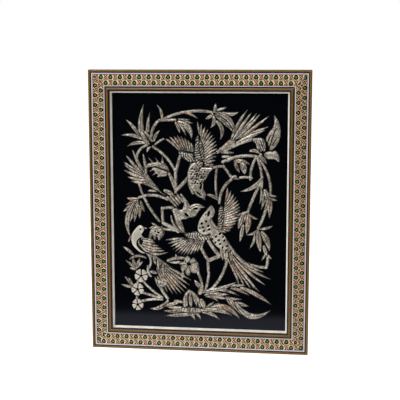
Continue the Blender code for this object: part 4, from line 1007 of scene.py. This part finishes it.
def outlineShape(drawn):
    ring = smoothOutline(drawn["points"])
    ahead = np.roll(ring, -1, axis=0)
    part, points = windowAround(ring, 1.5)
    way = ahead - ring
    away = points[:, None, :] - ring[None, :, :]
    along = np.clip((away * way).sum(axis=2) / (way ** 2).sum(axis=1), 0, 1)
    gap = np.sqrt(((away - along[:, :, None] * way) ** 2).sum(axis=2)).min(axis=1)
    x, z = points[:, 0][:, None], points[:, 1][:, None]
    crosses = (ring[:, 1] > z) != (ahead[:, 1] > z)
    height = np.where(way[:, 1] == 0, 1e-9, way[:, 1])
    inside = (crosses & (x < way[:, 0] * (z - ring[:, 1]) / height + ring[:, 0])).sum(axis=1) % 2 == 1
    edge = np.where(inside, gap, -gap)
    dome = np.sqrt(1 - (1 - np.clip(edge / drawn["shoulder"], 0, 1)) ** 2)
    if "streaks" in drawn:
        # Streaks spread from a point, so many to a radian
        fromX, fromZ, number, strength = drawn["streaks"]
        aimX, aimZ = ring.mean(axis=0) - (fromX, fromZ)
        acrossX, acrossZ = points[:, 0] - fromX, points[:, 1] - fromZ
        phase = number * np.arctan2(acrossZ * aimX - acrossX * aimZ, acrossX * aimX + acrossZ * aimZ)
    else:
        turned, pitch, strength = drawn["bars"]
        c, s = math.cos(math.radians(turned)), math.sin(math.radians(turned))
        bend = 0.35 * np.sin(0.35 * (points[:, 0] * s - points[:, 1] * c))
        phase = (points[:, 0] * c + points[:, 1] * s) / pitch + bend
    return {"part": part, "edge": edge, "height": drawn["rise"] * dome, "crest": dome,
            "cuts": np.full(len(points), relief["far"]), "phase": phase,
            "barb": np.full(len(points), strength),
            "blush": np.full(len(points), 0.25 * random.random()),
            "pale": np.full(len(points), drawn.get("pale", 0.0)),
            "layer": blades[wedge]["layer"] if drawn.get("under") else 9,
            "seam": relief["seam"]}


def layShape(shape):
    # A new figure covers what lies under it. A chased seam runs round it where it does, but
    # stems grow out of each other, and leaves out of stems, without one.
    part = shape["part"]
    rows, columns = field["edge"][part].shape
    given = {key: np.reshape(value, (rows, columns)) for key, value in shape.items()
             if isinstance(value, np.ndarray)}
    edge, inside = given["edge"], given["edge"] > 0
    covered = (field["edge"][part] > 0) & (field["layer"][part] > 0) & (shape["layer"] > 0)
    if shape["layer"] > blades[leaf]["layer"]:
        covered = field["edge"][part] > 0
    shoulder = relief["shoulder"] + (1 - relief["shoulder"]) * given["crest"]
    height = given["height"] / np.maximum(given["crest"], 1e-6) * shoulder
    cut = np.where(inside, given["cuts"], field["cut"][part])
    seam = np.abs(edge) - shape["seam"]
    field["cut"][part] = np.where(covered & (np.abs(edge) < 1.6), np.minimum(cut, seam), cut)
    under = np.where(field["layer"][part] == shape["layer"], 1.0, 0.0) * field["height"][part]
    field["height"][part] = np.where(inside, np.maximum(height, under), field["height"][part])
    field["layer"][part] = np.where(inside, shape["layer"], field["layer"][part])
    for name in ("crest", "phase", "barb", "blush", "pale"):
        field[name][part] = np.where(inside, given[name], field[name][part])
    field["edge"][part] = np.maximum(field["edge"][part], edge)


def engraveMarks():
    for x, z, longHalf, shortHalf, turned in spots:
        longHalf, shortHalf = longHalf + relief["spotMore"], shortHalf + relief["spotMore"]
        part, points = windowAround(np.array([(x, z)]), longHalf + 3)
        away = points - np.array((x, z))
        c, s = math.cos(math.radians(turned)), math.sin(math.radians(turned))
        u = (away[:, 0] * c + away[:, 1] * s) / longHalf
        v = (away[:, 1] * c - away[:, 0] * s) / shortHalf
        outside = (np.hypot(u, v) - 1) * shortHalf
        field["cut"][part] = np.minimum(field["cut"][part], outside.reshape(field["cut"][part].shape))
    for x0, z0, x1, z1, bow, width in lines:
        line = bowedLine(x0, z0, x1, z1, bow, 40)[1]
        part, points = windowAround(line, width / 2 + 1.5)
        gap = np.sqrt(((points[:, None, :] - line[None, :, :]) ** 2).sum(axis=2)).min(axis=1)
        outside = (gap - max(width / 2, relief["vein"])).reshape(field["cut"][part].shape)
        field["cut"][part] = np.minimum(field["cut"][part], outside)


def plateTile(name, columns, rows, material):
    # A closed slab under one quarter of the grid, its back fanned from one point in the middle
    x, z = np.meshgrid(gridX[columns], gridZ[rows])
    height = field["height"][rows, columns]
    countZ, countX = x.shape
    back = plateFront + sheet["thick"] / 1000
    verts = np.stack((x / 1000, plateFront - height / 1000, outer["middle"] + z / 1000), axis=2)
    index = np.arange(countZ * countX).reshape(countZ, countX)
    rim = np.concatenate((index[0, :-1], index[:-1, -1], index[-1, :0:-1], index[:0:-1, 0]))
    flat = verts.reshape(-1, 3)
    behind = flat[rim].copy()
    behind[:, 1] = back
    centre = np.array([[behind[:, 0].mean(), back, behind[:, 2].mean()]])
    faces = np.stack((index[:-1, :-1], index[:-1, 1:], index[1:, 1:], index[1:, :-1]), axis=2)
    faces = faces.reshape(-1, 4).tolist()
    top, first, count = len(faces), len(flat), len(rim)
    for i in range(count):
        j = (i + 1) % count
        faces.append((int(rim[i]), first + i, first + j, int(rim[j])))
        faces.append((first + count, first + j, first + i))
    mesh = bpy.data.meshes.new(name)
    mesh.from_pydata(np.concatenate((flat, behind, centre)).tolist(), [], faces)
    for label in ("edge", "cut", "crest", "barb", "phase", "blush", "pale"):
        values = np.zeros(len(mesh.vertices), dtype=np.float32)
        values[:first] = field[label][rows, columns].ravel()
        values[first:] = -relief["far"] if label == "edge" else 0.0
        mesh.attributes.new(label, "FLOAT", "POINT").data.foreach_set("value", values)
    mesh.polygons.foreach_set("use_smooth", [i < top for i in range(len(faces))])
    # The rim is sharp, so that the ground stays flat to the eye up to its edges
    onRim = np.zeros(len(mesh.vertices), dtype=bool)
    onRim[rim] = True
    ends = np.zeros(2 * len(mesh.edges), dtype=np.int32)
    mesh.edges.foreach_get("vertices", ends)
    mesh.edges.foreach_set("use_edge_sharp", onRim[ends.reshape(-1, 2)].all(axis=1))
    mesh.update()
    piece = addPiece(name, mesh, [material], ["engraved_plate"])
    print("plate:", name, len(faces), "faces")
    return piece


def makeChasedCopper():
    # Copper sheet raised from the back, tinned and chased. The eye sees pale satin metal on the
    # crests, pink where the tin is worn, and glossy black lacquer in every cut and on the ground.
    material, tree, shader = startMaterial("tinned_chased_copper")

    def attribute(name):
        return addNode(tree, "ShaderNodeAttribute", {"attribute_name": name})

    def step(source, low, high, first, last):
        return addNode(tree, "ShaderNodeMapRange", values={1: low, 2: high, 3: first, 4: last},
                       links=[("Value", source[0], source[1])])

    def multiply(first, second):
        return addNode(tree, "ShaderNodeMath", {"operation": "MULTIPLY"}, {},
                       [(0, first[0], first[1]), (1, second[0], second[1])])

    metal = step((attribute("edge"), "Fac"), -0.14, 0.14, 0.0, 1.0)
    uncut = step((attribute("cut"), "Fac"), -0.16, 0.22, 0.0, 1.0)
    turns = addNode(tree, "ShaderNodeMath", {"operation": "MULTIPLY"}, {1: 2 * math.pi},
                    [(0, attribute("phase"), "Fac")])
    wave = addNode(tree, "ShaderNodeMath", {"operation": "SINE"}, {}, [(0, turns, 0)])
    strokes = step((wave, 0), 0.0, 0.75, 0.0, 1.0)
    barbs = multiply((strokes, 0), (attribute("barb"), "Fac"))
    between = addNode(tree, "ShaderNodeMath", {"operation": "SUBTRACT"}, {0: 1.0}, [(1, barbs, 0)])
    grain = objectNoise(tree, 0.40, 5.0)
    grainTone = step((grain, "Fac"), 0.34, 0.64, 0.34, 1.18)
    patches = step((objectNoise(tree, 0.11, 3.0), "Fac"), 0.36, 0.62, 0.62, 1.12)
    crestTone = step((attribute("edge"), "Fac"), 0.0, 1.7, 0.42, 1.0)
    drawn = multiply((multiply((metal, 0), (uncut, 0)), 0), (between, 0))
    mottled = multiply((multiply((grainTone, 0), (patches, 0)), 0), (crestTone, 0))
    even = addNode(tree, "ShaderNodeMix", values={3: 0.92},
                   links=[(0, attribute("pale"), "Fac"), (2, mottled, 0)])
    shown = multiply((drawn, 0), (even, 0))
    tin = addNode(tree, "ShaderNodeValToRGB", links=[("Fac", shown, 0)])
    setRamp(tin, [(0.0, "030406"), (0.15, "25211E"), (0.38, "6B645A"), (0.62, "968F82"),
                  (0.85, "B4ADA0"), (1.0, "CEC8BC")])
    wear = objectNoise(tree, 0.07, 4.0)
    worn = multiply((wear, "Fac"), (attribute("blush"), "Fac"))
    pinkness = addNode(tree, "ShaderNodeMath", {"operation": "MULTIPLY_ADD", "use_clamp": True},
                       {1: 2.0, 2: -0.35}, [(0, worn, 0)])
    copper = mixColours(tree, "MULTIPLY", 1.0, (tin, "Color"), "E6B496")
    linkTo(tree, shader, "Base Color", mixColours(tree, "MIX", (pinkness, 0), (tin, "Color"), copper))
    linkTo(tree, shader, "Metallic", (step((shown, 0), 0.08, 0.45, 0.0, 0.6), 0))
    linkTo(tree, shader, "Roughness", (step((drawn, 0), 0.0, 0.5, 0.08, 0.40), 0))
    shader.inputs["Specular IOR Level"].default_value = 0.15
    shader.inputs["Specular Tint"].default_value = srgb("D4DAF4")
    addBump(tree, shader, (shown, 0), 0.35, 0.0004)
    return material


plateFront = outer["front"] + rail["plateFront"] / 1000
random.seed(relief["seed"])
queue = []
for rows in motifs.values():
    queue += rows
for fan in fans:
    queue += fanRows(fan)
for flower in fivePetalled:
    outlines += fivePetals(flower)
shapes = [bladeShape(row) for row in queue] + [outlineShape(drawn) for drawn in outlines]
for shape in sorted(shapes, key=lambda shape: shape["layer"]):
    layShape(shape)
for row in wingRows:
    layShape({**bladeShape(row), "layer": 10})
engraveMarks()
grooves = np.clip(1 - field["cut"] / 0.4, 0, 1)
field["height"] = np.maximum(field["height"] - relief["markDepth"] * grooves, 0.0)
print("figures laid:", len(queue), "blades and", len(outlines), "outlines")
chasedCopper = makeChasedCopper()
middleX, middleZ = len(gridX) // 2, len(gridZ) // 2
for across, columns in (("left", slice(0, middleX + 1)), ("right", slice(middleX, len(gridX)))):
    for level, rows in (("lower", slice(0, middleZ + 1)), ("upper", slice(middleZ, len(gridZ)))):
        plateTile(f"chased_plate_{level}_{across}", columns, rows, chasedCopper)

# Floor and lights
studio = {"floorZ": -0.62, "floorFront": -0.70, "floorBack": 40.0, "floorHalf": 30.0,
          "background": 1.0, "ambient": 0.55, "glow": 0.75}


def makeFloor():
    half, front, back, z = (studio[key] for key in ("floorHalf", "floorFront", "floorBack", "floorZ"))
    mesh = bpy.data.meshes.new("floor")
    mesh.from_pydata([(-half, front, z), (half, front, z), (half, back, z), (-half, back, z)], [],
                     [(0, 1, 2, 3)])
    material, tree, shader = startMaterial("pale_floor")
    noise = objectNoise(tree, 0.002, 2.0)
    tones = addNode(tree, "ShaderNodeValToRGB", links=[("Fac", noise, "Fac")])
    setRamp(tones, [(0.3, "F6F6F6"), (0.7, "FFFFFF")])
    linkTo(tree, shader, "Base Color", (tones, "Color"))
    linkTo(tree, shader, "Emission Color", (tones, "Color"))
    shader.inputs["Emission Strength"].default_value = studio["glow"]
    shader.inputs["Roughness"].default_value = 0.8
    mesh.materials.append(material)
    floor = bpy.data.objects.new("floor", mesh)
    bpy.context.scene.collection.objects.link(floor)


def addLamp(name, place, target, size, power, code="FFFFFF"):
    lamp = bpy.data.lights.new(name, "AREA")
    lamp.shape = "RECTANGLE"
    lamp.size, lamp.size_y = size
    lamp.energy = power
    lamp.color = srgb(code)[:3]
    holder = bpy.data.objects.new(name, lamp)
    bpy.context.scene.collection.objects.link(holder)
    holder.location = place
    holder.rotation_euler = (Vector(target) - Vector(place)).to_track_quat("-Z", "Y").to_euler()


def makeWorld():
    # White to the eye; for light and reflections brighter overhead and darker low down
    world = bpy.data.worlds.new("studio")
    bpy.context.scene.world = world
    world.use_nodes = True
    tree = world.node_tree
    tree.nodes.clear()
    place = addNode(tree, "ShaderNodeTexCoord")
    split = addNode(tree, "ShaderNodeSeparateXYZ", links=[("Vector", place, "Generated")])
    ramp = addNode(tree, "ShaderNodeValToRGB", links=[("Fac", split, "Z")])
    setRamp(ramp, [(0.0, "202024"), (0.12, "707072"), (0.6, "FFFFFF")])
    soft = addNode(tree, "ShaderNodeBackground", values={"Strength": studio["ambient"]},
                   links=[("Color", ramp, "Color")])
    plain = addNode(tree, "ShaderNodeBackground",
                    values={"Color": (1, 1, 1, 1), "Strength": studio["background"]})
    rays = addNode(tree, "ShaderNodeLightPath")
    mixed = addNode(tree, "ShaderNodeMixShader",
                    links=[(0, rays, "Is Camera Ray"), (1, soft, 0), (2, plain, 0)])
    addNode(tree, "ShaderNodeOutputWorld", links=[("Surface", mixed, 0)])


makeFloor()
makeWorld()
addLamp("overhead_softbox", (-0.5, -1.3, 1.2), (0, 0, -0.25), (1.4, 0.9), 42)
addLamp("left_softbox", (-1.7, -1.2, 0.1), (0, 0, -0.25), (0.7, 1.2), 9)
bpy.context.scene.view_settings.view_transform = "Standard"
print("floor, lights and world made")
